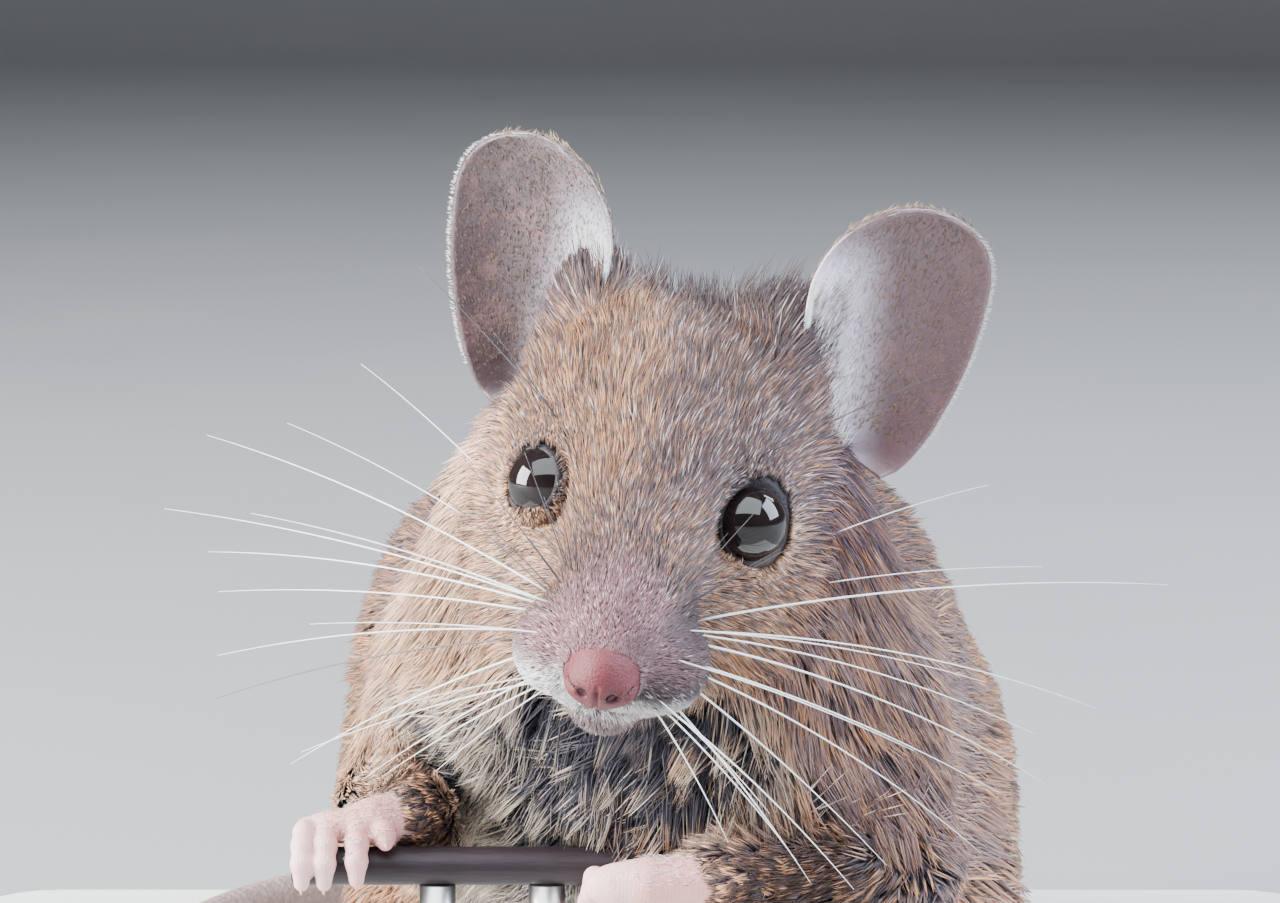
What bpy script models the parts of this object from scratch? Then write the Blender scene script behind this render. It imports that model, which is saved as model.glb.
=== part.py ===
"""A house mouse, life size: head turned to the viewer, forepaws on a short rod, on a plain stand.

The body is one smooth form, written as a distance field of lumps and limbs.  Its surface is the
true outline with the coat's tips.  Thin cuts then part it where a person would name its parts.
Lengths below are in units of UNIT metres: x to the mouse's left, y backwards, z up.  Points of
the body are given from the middle between the eyes, across and back, and from the base's top, up.
The part's origin is under the middle of the stand's base.
"""
import math

import bmesh
import bpy
import numpy as np
from mathutils import Matrix, Vector

# Driving dimensions
HEAD_LENGTH_M = 0.023       # from the nose to the back of the head, in life
HEAD_LENGTH = 26.1          # the same in units
UNIT = HEAD_LENGTH_M / HEAD_LENGTH
GAP = 0.0003 / UNIT         # between neighbouring pieces
BASE_SIZE = (84.0, 86.0, 4.0)
EYE_SETBACK = 21.0          # the eyes' line lies this far in front of the base's middle
EYE_HEIGHT = 34.5           # above the base's top
HEAD_PITCH = 16.0           # nose down
HEAD_ROLL = 10.9            # left side down
HEAD_YAW = 8.0              # nose to the mouse's right
EYE_RADIUS = 2.0
EYE_PLACE = (0.4, 4.9, 0.0)
EYE_HOLLOW = (1.3, 4.9, 0.1)   # middle of the round hollow in the coat before the eye
EYE_HOLLOW_RADIUS = 2.2
EAR_LENGTH = 14.9          # with the root that the fur hides
EAR_WIDTH = 10.0
EAR_THICK = 0.62
TAIL_LENGTH = 82.0
PERCH_RADIUS = 0.95
PERCH_AXIS = (0.5, 16.1)    # y and z
PERCH_ENDS = (-17.6, 1.6)   # x
ROD_PLACES = (-10.4, -5.0)   # x
ROD_RADIUS = 0.9
FINGER_RADIUS = 0.52
NOSE_CUT = 11.4            # the nose's own piece lies this far forward on the head


# --- frames --------------------------------------------------------------------------------

def spin(axis, degrees):
    return np.array(Matrix.Rotation(math.radians(degrees), 3, Vector(axis)))


def head_axes():
    """Columns: forward along the snout, to the mouse's left, and up through the crown."""
    forward, left, up = np.array([0.0, -1.0, 0.0]), np.array([1.0, 0.0, 0.0]), np.array([0.0, 0.0, 1.0])
    turn = spin((0, 0, 1), -HEAD_YAW)
    forward, left = turn @ forward, turn @ left
    turn = spin(left, HEAD_PITCH)
    forward, up = turn @ forward, turn @ up
    turn = spin(forward, -HEAD_ROLL)
    return np.stack([forward, turn @ left, turn @ up], axis=1)


HEAD_AXES = head_axes()
EYES_MIDDLE = np.array([0.0, 0.0, EYE_HEIGHT])


def from_head(place):
    return EYES_MIDDLE + HEAD_AXES @ np.array(place, float)


def to_world(points):
    """From the body's own frame to the part's frame, in metres."""
    return (np.asarray(points, float) + [0.0, -EYE_SETBACK, BASE_SIZE[2]]) * UNIT


# --- distance fields -----------------------------------------------------------------------

def ellipsoid(points, centre, radii):
    offset = points - np.array(centre, float)
    near = np.linalg.norm(offset / radii, axis=1)
    slope = np.linalg.norm(offset / np.square(radii), axis=1)
    return near * (near - 1.0) / np.maximum(slope, 1e-6)


def limb(points, start, end, start_radius, end_radius):
    start, end = np.array(start, float), np.array(end, float)
    along = end - start
    share = np.clip((points - start) @ along / (along @ along), 0.0, 1.0)
    nearest = start + share[:, None] * along
    return np.linalg.norm(points - nearest, axis=1) - (start_radius + (end_radius - start_radius) * share)


def blend(first, second, width):
    mix = np.maximum(width - np.abs(first - second), 0.0) / width
    return np.minimum(first, second) - mix * mix * width * 0.25


def chain(points, joints, radii, width):
    """A limb through several joints."""
    field = limb(points, joints[0], joints[1], radii[0], radii[1])
    for i in range(1, len(joints) - 1):
        field = blend(field, limb(points, joints[i], joints[i + 1], radii[i], radii[i + 1]), width)
    return field


# --- the body's lumps ----------------------------------------------------------------------

TRUNK = (                                            # centre, radii
    ((0.6, 15.0, 20.6), (14.4, 14.6, 14.6)),         # chest
    ((0.7, 29.0, 18.8), (17.5, 16.5, 18.0)),         # back and belly
    ((2.8, 45.0, 16.3), (16.2, 15.5, 15.4)),         # rump
)
NECK = ((0.4, 10.0, 31.6), (11.2, 9.6, 9.6))
THROAT = ((1.5, 5.5, 20.5), (8.0, 6.6, 8.0))
TAIL_BASE = ((3.4, 54.0, 10.0), (3.2, 60.0, 5.0), 5.0, 2.0)

HEAD_MIDDLE = (                                      # on the head's middle plane: forward, left, up
    ((-5.4, 0.0, 1.2), (8.0, 6.9, 6.9)),             # cranium
    ((11.9, 0.0, -3.5), (1.95, 1.6, 1.85)),          # nose pad
)
HEAD_SIDES = (                                       # for the left, mirrored to the right; last, the blend's width
    ((-3.4, 3.8, -3.9), (5.8, 3.7, 4.4), 3.0),       # cheek
    ((-8.3, 4.7, 5.2), (2.7, 2.8, 4.3), 2.2),        # root of the ear
    ((-0.2, 3.2, 0.1), (2.6, 2.2, 2.5), 1.6),        # rim of the eye
    ((8.0, 2.4, -4.5), (3.1, 2.4, 2.4), 1.4),        # whisker pad
)
SNOUT = ((-0.5, 0.0, -0.8), (10.2, 0.0, -2.9), 4.6, 2.2)
BRIDGE = ((0.0, 0.0, 1.6), (9.5, 0.0, -1.6), 3.6, 2.1)
JAW = ((-1.0, 0.0, -4.6), (7.6, 0.0, -7.1), 4.4, 1.9)

THIGHS = {"right": ((-11.2, 37.0, 11.0), (6.6, 12.0, 10.2)), "left": ((14.9, 37.0, 11.0), (6.6, 12.0, 10.2))}
SHANKS = {                                           # knee to heel
    "right": ((-13.0, 29.0, 7.0), (-11.5, 44.0, 3.2), 4.0, 2.0),
    "left": ((17.6, 29.0, 7.0), (16.0, 44.0, 3.2), 4.0, 2.0),
}
FORELEGS = {                                         # shoulder, elbow, wrist
    "right": (((-8.5, 12.5, 22.5), (-12.6, 8.6, 17.2), (-11.9, 2.2, 18.1)), (5.4, 3.2, 1.6)),
    "left": (((9.5, 12.5, 21.5), (13.4, 5.6, 14.8), (3.8, -2.0, 15.9)), (5.4, 2.6, 1.4)),
}


def head_field(points):
    local = (points - EYES_MIDDLE) @ HEAD_AXES
    mirrored = local * np.array([1.0, 0.0, 1.0]) + np.abs(local) * np.array([0.0, 1.0, 0.0])
    field = ellipsoid(local, *HEAD_MIDDLE[0])
    field = blend(field, limb(local, *SNOUT), 4.0)
    field = blend(field, limb(local, *BRIDGE), 1.5)
    field = blend(field, limb(local, *JAW), 2.5)
    for centre, radii, width in HEAD_SIDES:
        field = blend(field, ellipsoid(mirrored, centre, radii), width)
    field = blend(field, ellipsoid(local, *HEAD_MIDDLE[1]), 1.0)
    hollow = EYE_HOLLOW_RADIUS - np.linalg.norm(mirrored - EYE_HOLLOW, axis=1)
    return -blend(-field, -hollow, 0.8)


def trunk_field(points):
    field = ellipsoid(points, *TRUNK[0])
    for lump in TRUNK[1:]:
        field = blend(field, ellipsoid(points, *lump), 7.0)
    field = blend(field, ellipsoid(points, *THROAT), 5.0)
    field = blend(field, ellipsoid(points, *NECK), 6.0)
    return blend(field, limb(points, *TAIL_BASE), 4.0)


def foreleg_field(points, side):
    joints, radii = FORELEGS[side]
    return chain(points, joints, radii, 2.0)


def hindleg_field(points, side):
    return blend(ellipsoid(points, *THIGHS[side]), limb(points, *SHANKS[side]), 3.0)


def body_field(points):
    field = blend(trunk_field(points), head_field(points), 4.5)
    for side in ("right", "left"):
        field = blend(field, hindleg_field(points, side), 4.0)
        field = blend(field, foreleg_field(points, side), 1.6)
    return field


# --- the small feet ------------------------------------------------------------------------

def over_perch(x, degrees, clear):
    """A point round the rod, from 0 behind it over 90 on top to 180 in front."""
    reach = PERCH_RADIUS + GAP + clear
    turn = math.radians(degrees)
    return (x, PERCH_AXIS[0] + reach * math.cos(turn), PERCH_AXIS[1] + reach * math.sin(turn))


def finger(x, spread, first, last, radius):
    """Joints of one finger that lies round the rod; spread moves its tip along the rod."""
    steps = 4
    places = []
    for i in range(steps + 1):
        share = i / steps
        places.append(over_perch(x + spread * share, first + (last - first) * share, radius))
    return places


FINGERS = {                                          # place on the rod, spread, first and last degrees
    "right": ((-16.9, -0.1, 72.0, 196.0), (-15.8, -0.1, 72.0, 196.0), (-14.3, 0.0, 72.0, 190.0),
              (-13.2, 0.3, 72.0, 130.0)),
    "left": ((-2.6, -0.5, 186.0, 300.0), (-1.5, -0.3, 186.0, 300.0), (-0.4, 0.0, 186.0, 300.0),
             (0.7, 0.3, 186.0, 300.0)),
}
FINGER_RADII = (0.54, FINGER_RADIUS, 0.47, 0.5, 0.36)
WRIST_RADII = (1.35, 1.15)
PALMS = {                                            # end of the wrist; the palm's centre and radii
    "right": ((-13.6, 1.3, 18.2), (-14.9, 0.9, 18.0), (2.2, 1.0, 0.85)),
    "left": ((0.2, -2.2, 15.9), (-0.9, -2.1, 15.7), (2.2, 1.0, 1.2)),
}


def forepaw_field(points, side):
    hand, palm, palm_radii = PALMS[side]
    field = limb(points, FORELEGS[side][0][2], hand, *WRIST_RADII)
    field = blend(field, ellipsoid(points, palm, palm_radii), 0.8)
    for along_perch, spread, first, last in FINGERS[side]:
        joints = finger(along_perch, spread, first, last, FINGER_RADIUS)
        field = blend(field, chain(points, joints, FINGER_RADII, 0.2), 0.25)
    return field


HEELS = {"right": (-11.4, 44.5), "left": (15.9, 44.5)}
FOOT_TURN = {"right": -9.0, "left": 9.0}             # toes outwards
TOES = ((-1.55, 12.0, 14.6), (-0.8, 12.6, 17.4), (0.0, 12.8, 18.0), (0.8, 12.6, 17.2), (1.6, 10.2, 13.4))
TOE_RADII = (0.62, 0.54, 0.42)
FOOT_SPINE = ((0.6, 1.9), (6.0, 1.5), (11.5, 1.25))  # along and height, from the heel to the ball
FOOT_RADII = (1.35, 1.25, 1.25)
FOOT_STRIPS = (-0.85, 0.85)                          # the ball's two sides
SOLE_LEVEL = GAP


def foot_point(side, across, along, height):
    """A point of a hind foot, from its heel towards the toes."""
    turn = math.radians(FOOT_TURN[side])
    x, y = HEELS[side]
    return (x + across * math.cos(turn) + along * math.sin(turn), y + across * math.sin(turn) - along * math.cos(turn),
            height)


def toe_joints(side, across, start, end):
    inner = -1.0 if side == "left" else 1.0
    spread = 1.0 + 0.35 * (end - start) / 5.0
    return [foot_point(side, inner * across * 0.8, start - 1.0, 1.1),
            foot_point(side, inner * across * spread, (start + end) / 2, 1.05),
            foot_point(side, inner * across * spread * 1.15, end - 0.5, 0.72)]


def foot_spine(side):
    return [foot_point(side, 0.0, along, height) for along, height in FOOT_SPINE]


def foot_strip(side, across):
    return [foot_point(side, across * 0.6, 7.0, 1.3), foot_point(side, across, 12.0, 1.2)]


def hindfoot_field(points, side):
    field = chain(points, foot_spine(side), FOOT_RADII, 0.8)
    for across in FOOT_STRIPS:
        field = blend(field, limb(points, *foot_strip(side, across), 1.0, 1.0), 0.6)
    for toe in TOES:
        field = blend(field, chain(points, toe_joints(side, *toe), TOE_RADII, 0.2), 0.25)
    return field


# --- meshes --------------------------------------------------------------------------------

def material(name, colour, roughness, metallic=0.0):
    made = bpy.data.materials.new(name)
    made.use_nodes = True
    shader = made.node_tree.nodes["Principled BSDF"]
    shader.inputs["Base Color"].default_value = (*colour, 1.0)
    shader.inputs["Roughness"].default_value = roughness
    shader.inputs["Metallic"].default_value = metallic
    return made


def add_object(name, mesh, look=None):
    made = bpy.data.objects.new(name, mesh)
    bpy.context.collection.objects.link(made)
    if look is not None:
        mesh.materials.clear()
        mesh.materials.append(look)
    return made


def evaluated(piece):
    """The mesh that an object's modifiers give, as plain data; the object is removed."""
    bpy.context.view_layer.update()
    made = bpy.data.meshes.new_from_object(piece.evaluated_get(bpy.context.evaluated_depsgraph_get()))
    bpy.data.objects.remove(piece)
    return made


def read_points(mesh):
    flat = np.empty(len(mesh.vertices) * 3, np.float32)
    mesh.vertices.foreach_get("co", flat)
    return flat.reshape(-1, 3).astype(float)


def write_points(mesh, points):
    mesh.vertices.foreach_set("co", np.asarray(points, np.float32).ravel())
    mesh.update()


def settle(points, field, level, rounds=6):
    """Moves points along the field's slope until they lie at the given level."""
    reach = 0.02
    for _ in range(rounds):
        here = field(points) - level
        slope = np.stack([(field(points + step) - field(points - step)) / (2 * reach)
                          for step in np.eye(3) * reach], axis=1)
        move = slope * (here / np.maximum((slope ** 2).sum(axis=1), 0.05))[:, None]
        size = np.linalg.norm(move, axis=1, keepdims=True)
        points = points - move * np.minimum(1.0, 1.5 / np.maximum(size, 1e-9))
    return points


def rough_form(balls, voxel):
    """One closed skin round many balls, each a centre, three radii and a set of axes."""
    work = bmesh.new()
    for centre, radii, axes in balls:
        place = Matrix.Translation(Vector(centre)) @ Matrix(axes).to_4x4() @ Matrix.Diagonal((*radii, 1.0))
        bmesh.ops.create_icosphere(work, subdivisions=3, radius=1.0, matrix=place)
    mesh = bpy.data.meshes.new("rough")
    work.to_mesh(mesh)
    work.free()
    piece = add_object("rough", mesh)
    remesh = piece.modifiers.new("one_skin", "REMESH")
    remesh.mode = "VOXEL"
    remesh.voxel_size = voxel
    return evaluated(piece)


UPRIGHT = np.eye(3)


def balls_along(joints, radii, spacing=0.5):
    """Balls set closely along a chain of joints."""
    balls = []
    for i in range(len(joints) - 1):
        start, end = np.array(joints[i], float), np.array(joints[i + 1], float)
        smallest = min(radii[i], radii[i + 1])
        count = max(2, int(np.linalg.norm(end - start) / (smallest * spacing)) + 2)
        for share in np.linspace(0.0, 1.0, count):
            size = radii[i] + (radii[i + 1] - radii[i]) * share
            balls.append((start + (end - start) * share, (size, size, size), UPRIGHT))
    return balls


def body_balls():
    balls = [(centre, radii, UPRIGHT) for centre, radii in TRUNK + (NECK, THROAT)]
    balls += [(from_head(centre), radii, HEAD_AXES) for centre, radii in HEAD_MIDDLE]
    for (forward, left, up), radii, _ in HEAD_SIDES:
        balls += [(from_head((forward, side * left, up)), radii, HEAD_AXES) for side in (-1, 1)]
    for start, end, start_radius, end_radius in (SNOUT, BRIDGE, JAW):
        balls += balls_along([from_head(start), from_head(end)], [start_radius, end_radius])
    balls += balls_along(TAIL_BASE[:2], TAIL_BASE[2:])
    for side in ("right", "left"):
        balls.append((*THIGHS[side], UPRIGHT))
        balls += balls_along(SHANKS[side][:2], SHANKS[side][2:])
        balls += balls_along(*FORELEGS[side])
    return balls


def thin_out(mesh, triangles):
    piece = add_object("thin", mesh)
    fewer = piece.modifiers.new("fewer", "DECIMATE")
    fewer.ratio = min(1.0, triangles / sum(len(face.vertices) - 2 for face in mesh.polygons))
    return evaluated(piece)


def tidy(mesh):
    """Welds stray doubles, fills pin holes and turns all faces outwards."""
    work = bmesh.new()
    work.from_mesh(mesh)
    bmesh.ops.remove_doubles(work, verts=work.verts, dist=0.004)
    bmesh.ops.dissolve_degenerate(work, dist=0.002, edges=work.edges)
    bmesh.ops.triangulate(work, faces=work.faces)
    bmesh.ops.recalc_face_normals(work, faces=work.faces)
    work.to_mesh(mesh)
    work.free()
    return mesh


def form(balls, voxel, field, triangles):
    """A closed mesh of the field's surface, and one that stands a gap outside it."""
    mesh = rough_form(balls, voxel)
    write_points(mesh, settle(read_points(mesh), field, 0.0))
    mesh = tidy(thin_out(mesh, triangles))
    write_points(mesh, settle(read_points(mesh), field, 0.0, rounds=3))
    outside = mesh.copy()
    write_points(outside, settle(read_points(mesh), field, GAP, rounds=4))
    return mesh, outside


def boolean(mesh, operation, cutter):
    piece, other = add_object("cut", mesh), add_object("cutter", cutter)
    cut = piece.modifiers.new("cut", "BOOLEAN")
    cut.operation = operation
    cut.solver = "EXACT"
    cut.object = other
    made = evaluated(piece)
    bpy.data.objects.remove(other)
    return tidy(made)


def slice_off(mesh, point, normal, keep_ahead):
    """Cuts with a plane and closes the cut; what lies ahead of the plane is kept, or what lies behind."""
    work = bmesh.new()
    work.from_mesh(mesh)
    bmesh.ops.bisect_plane(work, geom=work.verts[:] + work.edges[:] + work.faces[:], plane_co=Vector(point),
                           plane_no=Vector(normal), clear_inner=keep_ahead, clear_outer=not keep_ahead)
    rim = [edge for edge in work.edges if len(edge.link_faces) == 1]
    bmesh.ops.triangle_fill(work, edges=rim, use_beauty=True)
    bmesh.ops.remove_doubles(work, verts=work.verts, dist=0.001)
    bmesh.ops.recalc_face_normals(work, faces=work.faces)
    made = bpy.data.meshes.new("sliced")
    work.to_mesh(made)
    work.free()
    return made


def part_by_plane(mesh, point, normal):
    """Two meshes, ahead of and behind a plane, with a thin gap between them."""
    normal = np.array(normal, float) / np.linalg.norm(normal)
    half = normal * GAP / 2
    ahead = slice_off(mesh, np.array(point) + half, normal, True)
    behind = slice_off(mesh, np.array(point) - half, normal, False)
    return ahead, behind


def part_by_form(mesh, field, balls, voxel, margin):
    """Two meshes, inside a limb's own surface grown by a margin and outside it, with a thin gap."""
    cutter = rough_form(balls, voxel)
    inner, outer = cutter.copy(), cutter.copy()
    write_points(inner, settle(read_points(cutter), field, margin))
    write_points(outer, settle(read_points(cutter), field, margin + GAP))
    inner, outer = tidy(thin_out(inner, 260)), tidy(thin_out(outer, 260))
    return boolean(mesh.copy(), "INTERSECT", inner), boolean(mesh.copy(), "DIFFERENCE", outer)


def ball_mesh(centre, radii, axes=UPRIGHT, subdivisions=3):
    work = bmesh.new()
    place = Matrix.Translation(Vector(centre)) @ Matrix(axes).to_4x4() @ Matrix.Diagonal((*radii, 1.0))
    bmesh.ops.create_icosphere(work, subdivisions=subdivisions, radius=1.0, matrix=place)
    bmesh.ops.recalc_face_normals(work, faces=work.faces)
    mesh = bpy.data.meshes.new("ball")
    work.to_mesh(mesh)
    work.free()
    return mesh


def tube_mesh(centres, radii, sides):
    """A round tube through a list of centres, closed at both ends."""
    centres = np.array(centres, float)
    ways = np.gradient(centres, axis=0)
    work = bmesh.new()
    rings = []
    for centre, way, radius in zip(centres, ways, radii):
        across = np.cross(way, (0.0, 0.0, 1.0) if abs(way[2]) < 0.95 * np.linalg.norm(way) else (0.0, 1.0, 0.0))
        across /= np.linalg.norm(across)
        rise = np.cross(across, way)
        rise /= np.linalg.norm(rise)
        rings.append([work.verts.new(centre + radius * (across * math.cos(turn) + rise * math.sin(turn)))
                      for turn in np.arange(sides) * 2 * math.pi / sides])
    for first, second in zip(rings, rings[1:]):
        for i in range(sides):
            j = (i + 1) % sides
            work.faces.new((first[i], first[j], second[j], second[i]))
    work.faces.new(rings[0][::-1])
    work.faces.new(rings[-1])
    bmesh.ops.recalc_face_normals(work, faces=work.faces)
    mesh = bpy.data.meshes.new("tube")
    work.to_mesh(mesh)
    work.free()
    return mesh


def finish_node(name, mesh, look):
    """Puts a mesh in its place, in metres, as a named node."""
    write_points(mesh, to_world(read_points(mesh)))
    node = add_object(name, mesh, look)
    mesh.shade_smooth()
    mesh.set_sharp_from_angle(angle=math.radians(50))
    return node


# --- ears ----------------------------------------------------------------------------------

EAR_BASE = {"right": (-9.6, -8.1, -1.2), "left": (-9.6, 9.6, -1.2)}    # on the head
EAR_TIP_WAY = (0.06, 0.07, 1.0)      # from base to tip: leaning outwards
EAR_FACING = (0.86, 0.50, 0.02)      # the hollow side faces forward and outward
EAR_CUP = 2.3
EAR_ROWS = 10
EAR_COLUMNS = 6
EAR_WIDEST = 0.69                    # share of the length
EAR_LOBE = 0.5                       # below 1, the outer edge is rounder low down than the inner


def ear_half_width(across, share):
    """Half the ear's width from its base, 0, to its tip, 1."""
    if share < EAR_WIDEST:
        rising = math.sin(math.pi / 2 * share / EAR_WIDEST) ** (EAR_LOBE if across > 0.0 else 1.0)
        return EAR_WIDTH / 2 * (0.28 + 0.72 * rising)
    return EAR_WIDTH / 2 * math.sqrt(max(0.0, 1.0 - ((share - EAR_WIDEST) / (1.0 - EAR_WIDEST)) ** 2.2))


def ear_point(side, across, share):
    """A point of the ear's sheet: across from -1, its inner edge, to 1, its outer edge."""
    tip_way = np.array(EAR_TIP_WAY) / np.linalg.norm(EAR_TIP_WAY)
    facing = np.array(EAR_FACING) - tip_way * np.dot(EAR_FACING, tip_way)
    facing /= np.linalg.norm(facing)
    outward = np.cross(tip_way, facing)
    half = ear_half_width(across, share)
    base = EAR_BASE["left" if side > 0 else "right"]
    closing = math.sqrt(1.0 - max(0.0, (share - EAR_WIDEST) / (1.0 - EAR_WIDEST)) ** 2)
    hollow = EAR_CUP * (1.0 - across * across) * (0.45 + 0.55 * math.cos(math.pi / 2 * share ** 1.4)) * closing
    lean = 0.9 * share * share
    local = tip_way * EAR_LENGTH * share + outward * half * across - facing * (hollow + lean)
    return from_head(base + local * (1.0, side, 1.0))


def ear_mesh(side, thickness):
    """The cupped sheet with its thickness, open side forward."""
    work = bmesh.new()
    shares = [math.sin(math.pi / 2 * i / EAR_ROWS) for i in range(EAR_ROWS)] + [0.997]
    rows = [[work.verts.new(ear_point(side, -1.0 + 2.0 * j / EAR_COLUMNS, share)) for j in range(EAR_COLUMNS + 1)]
            for share in shares]
    for first, second in zip(rows, rows[1:]):
        for j in range(EAR_COLUMNS):
            work.faces.new((first[j], first[j + 1], second[j + 1], second[j]))
    bmesh.ops.recalc_face_normals(work, faces=work.faces)
    mesh = bpy.data.meshes.new("ear")
    work.to_mesh(mesh)
    work.free()
    piece = add_object("ear", mesh)
    thick = piece.modifiers.new("thickness", "SOLIDIFY")
    thick.thickness = thickness
    thick.offset = 0.0
    return tidy(evaluated(piece))


# --- the pieces ----------------------------------------------------------------------------

TAIL_ROUTE = ((3.2, 58.0, 6.4), (1.2, 60.9, 3.8), (-5.5, 61.3, 2.2), (-15.0, 59.2, 1.9), (-23.5, 53.0, 1.8),
              (-28.5, 43.0, 1.7), (-30.4, 31.0, 1.5), (-30.0, 18.0, 1.3), (-26.6, 6.0, 1.1), (-20.0, -4.0, 0.9))
TAIL_RADII = (1.75, 0.42)
TAIL_PIECES = ("tail_root", "tail_middle", "tail_tip")


def smooth_route(points, count):
    """Even steps along a smooth curve through the points."""
    points = np.array(points, float)
    padded = np.vstack([2 * points[0] - points[1], points, 2 * points[-1] - points[-2]])
    dense = []
    for i in range(len(points) - 1):
        before, start, end, after = padded[i:i + 4]
        for t in np.linspace(0.0, 1.0, 40, endpoint=False):
            dense.append(0.5 * (2 * start + (end - before) * t + (2 * before - 5 * start + 4 * end - after) * t ** 2
                                + (3 * start - before - 3 * end + after) * t ** 3))
    dense = np.array(dense + [points[-1]])
    run = np.concatenate([[0.0], np.cumsum(np.linalg.norm(np.diff(dense, axis=0), axis=1))])
    run_steps = np.linspace(0.0, min(run[-1], TAIL_LENGTH), count)
    return np.stack([np.interp(run_steps, run, dense[:, k]) for k in range(3)], axis=1)


def build_tail(outside, look):
    count = 64
    route = smooth_route(TAIL_ROUTE, count)
    radii = TAIL_RADII[0] + (TAIL_RADII[1] - TAIL_RADII[0]) * np.linspace(0.0, 1.0, count) ** 0.8
    for k in range(4, count):
        route[k, 2] = max(GAP + radii[k], route[k, 2])
    ends = (0, 22, 43, count - 1)
    for k, name in enumerate(TAIL_PIECES):
        centres, sizes = route[ends[k]:ends[k + 1] + 1].copy(), radii[ends[k]:ends[k + 1] + 1]
        if k > 0:
            step = centres[1] - centres[0]
            centres[0] += step * GAP / np.linalg.norm(step)
        mesh = tube_mesh(centres, sizes, 8)
        if k == 0:
            mesh = boolean(mesh, "DIFFERENCE", outside.copy())
        finish_node(name, mesh, look)


def build_stand(stand_look, perch_look):
    width, depth, height = BASE_SIZE
    work = bmesh.new()
    bmesh.ops.create_cube(work, size=1.0, matrix=Matrix.Translation((0, EYE_SETBACK, -height / 2))
                          @ Matrix.Diagonal((width, depth, height, 1.0)))
    corners = [edge for edge in work.edges if abs(edge.verts[0].co.z - edge.verts[1].co.z) > 1.0]
    bmesh.ops.bevel(work, geom=corners, offset=5.0, segments=5, affect="EDGES", profile=0.5)
    top = [edge for edge in work.edges if all(vert.co.z > -0.01 for vert in edge.verts)]
    bmesh.ops.bevel(work, geom=top, offset=0.6, segments=2, affect="EDGES", profile=0.5)
    mesh = bpy.data.meshes.new("base")
    work.to_mesh(mesh)
    work.free()
    finish_node("stand_base", mesh, stand_look)
    y, z = PERCH_AXIS
    perch = tube_mesh([(x, y, z) for x in PERCH_ENDS], [PERCH_RADIUS] * 2, 20)
    for x, name in zip(ROD_PLACES, ("stand_rod_right", "stand_rod_left")):
        foot, head = (x, y, GAP), (x, y, z)
        rod = tube_mesh([foot, head], [ROD_RADIUS] * 2, 16)
        clear = tube_mesh([(x - 3, y, z), (x + 3, y, z)], [PERCH_RADIUS + GAP] * 2, 20)
        finish_node(name, boolean(rod, "DIFFERENCE", clear), stand_look)
    finish_node("perch", perch, perch_look)


def perch_clearance():
    y, z = PERCH_AXIS
    return tube_mesh([(PERCH_ENDS[0] - 5.0, y, z), (PERCH_ENDS[1] + GAP, y, z)], [PERCH_RADIUS + GAP] * 2, 20)


def rod_clearance(x):
    y, z = PERCH_AXIS
    return tube_mesh([(x, y, -1.0), (x, y, z)], [ROD_RADIUS + GAP] * 2, 16)


def forepaw_balls(side):
    hand, palm, palm_radii = PALMS[side]
    balls = balls_along([FORELEGS[side][0][2], hand], WRIST_RADII) + [(palm, palm_radii, UPRIGHT)]
    for along_perch, spread, first, last in FINGERS[side]:
        joints = finger(along_perch, spread, first, last, FINGER_RADIUS)
        balls += balls_along(joints, [FINGER_RADIUS] * len(joints))
    return balls


def hindfoot_balls(side):
    balls = balls_along(foot_spine(side), FOOT_RADII)
    for across in FOOT_STRIPS:
        balls += balls_along(foot_strip(side, across), [1.0, 1.0])
    for toe in TOES:
        balls += balls_along(toe_joints(side, *toe), TOE_RADII)
    return balls


def build_feet(outside, look):
    clearance = perch_clearance()
    for side in ("right", "left"):
        mesh, _ = form(forepaw_balls(side), 0.24, lambda points: forepaw_field(points, side), 400)
        mesh = boolean(mesh, "DIFFERENCE", outside.copy())
        mesh = boolean(mesh, "DIFFERENCE", clearance.copy())
        finish_node("forepaw_" + side, mesh, look)
        mesh, _ = form(hindfoot_balls(side), 0.3, lambda points: hindfoot_field(points, side), 400)
        mesh = slice_off(mesh, (0, 0, SOLE_LEVEL), (0, 0, 1), True)
        mesh = boolean(mesh, "DIFFERENCE", outside.copy())
        finish_node("hindfoot_" + side, tidy(mesh), look)


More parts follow.
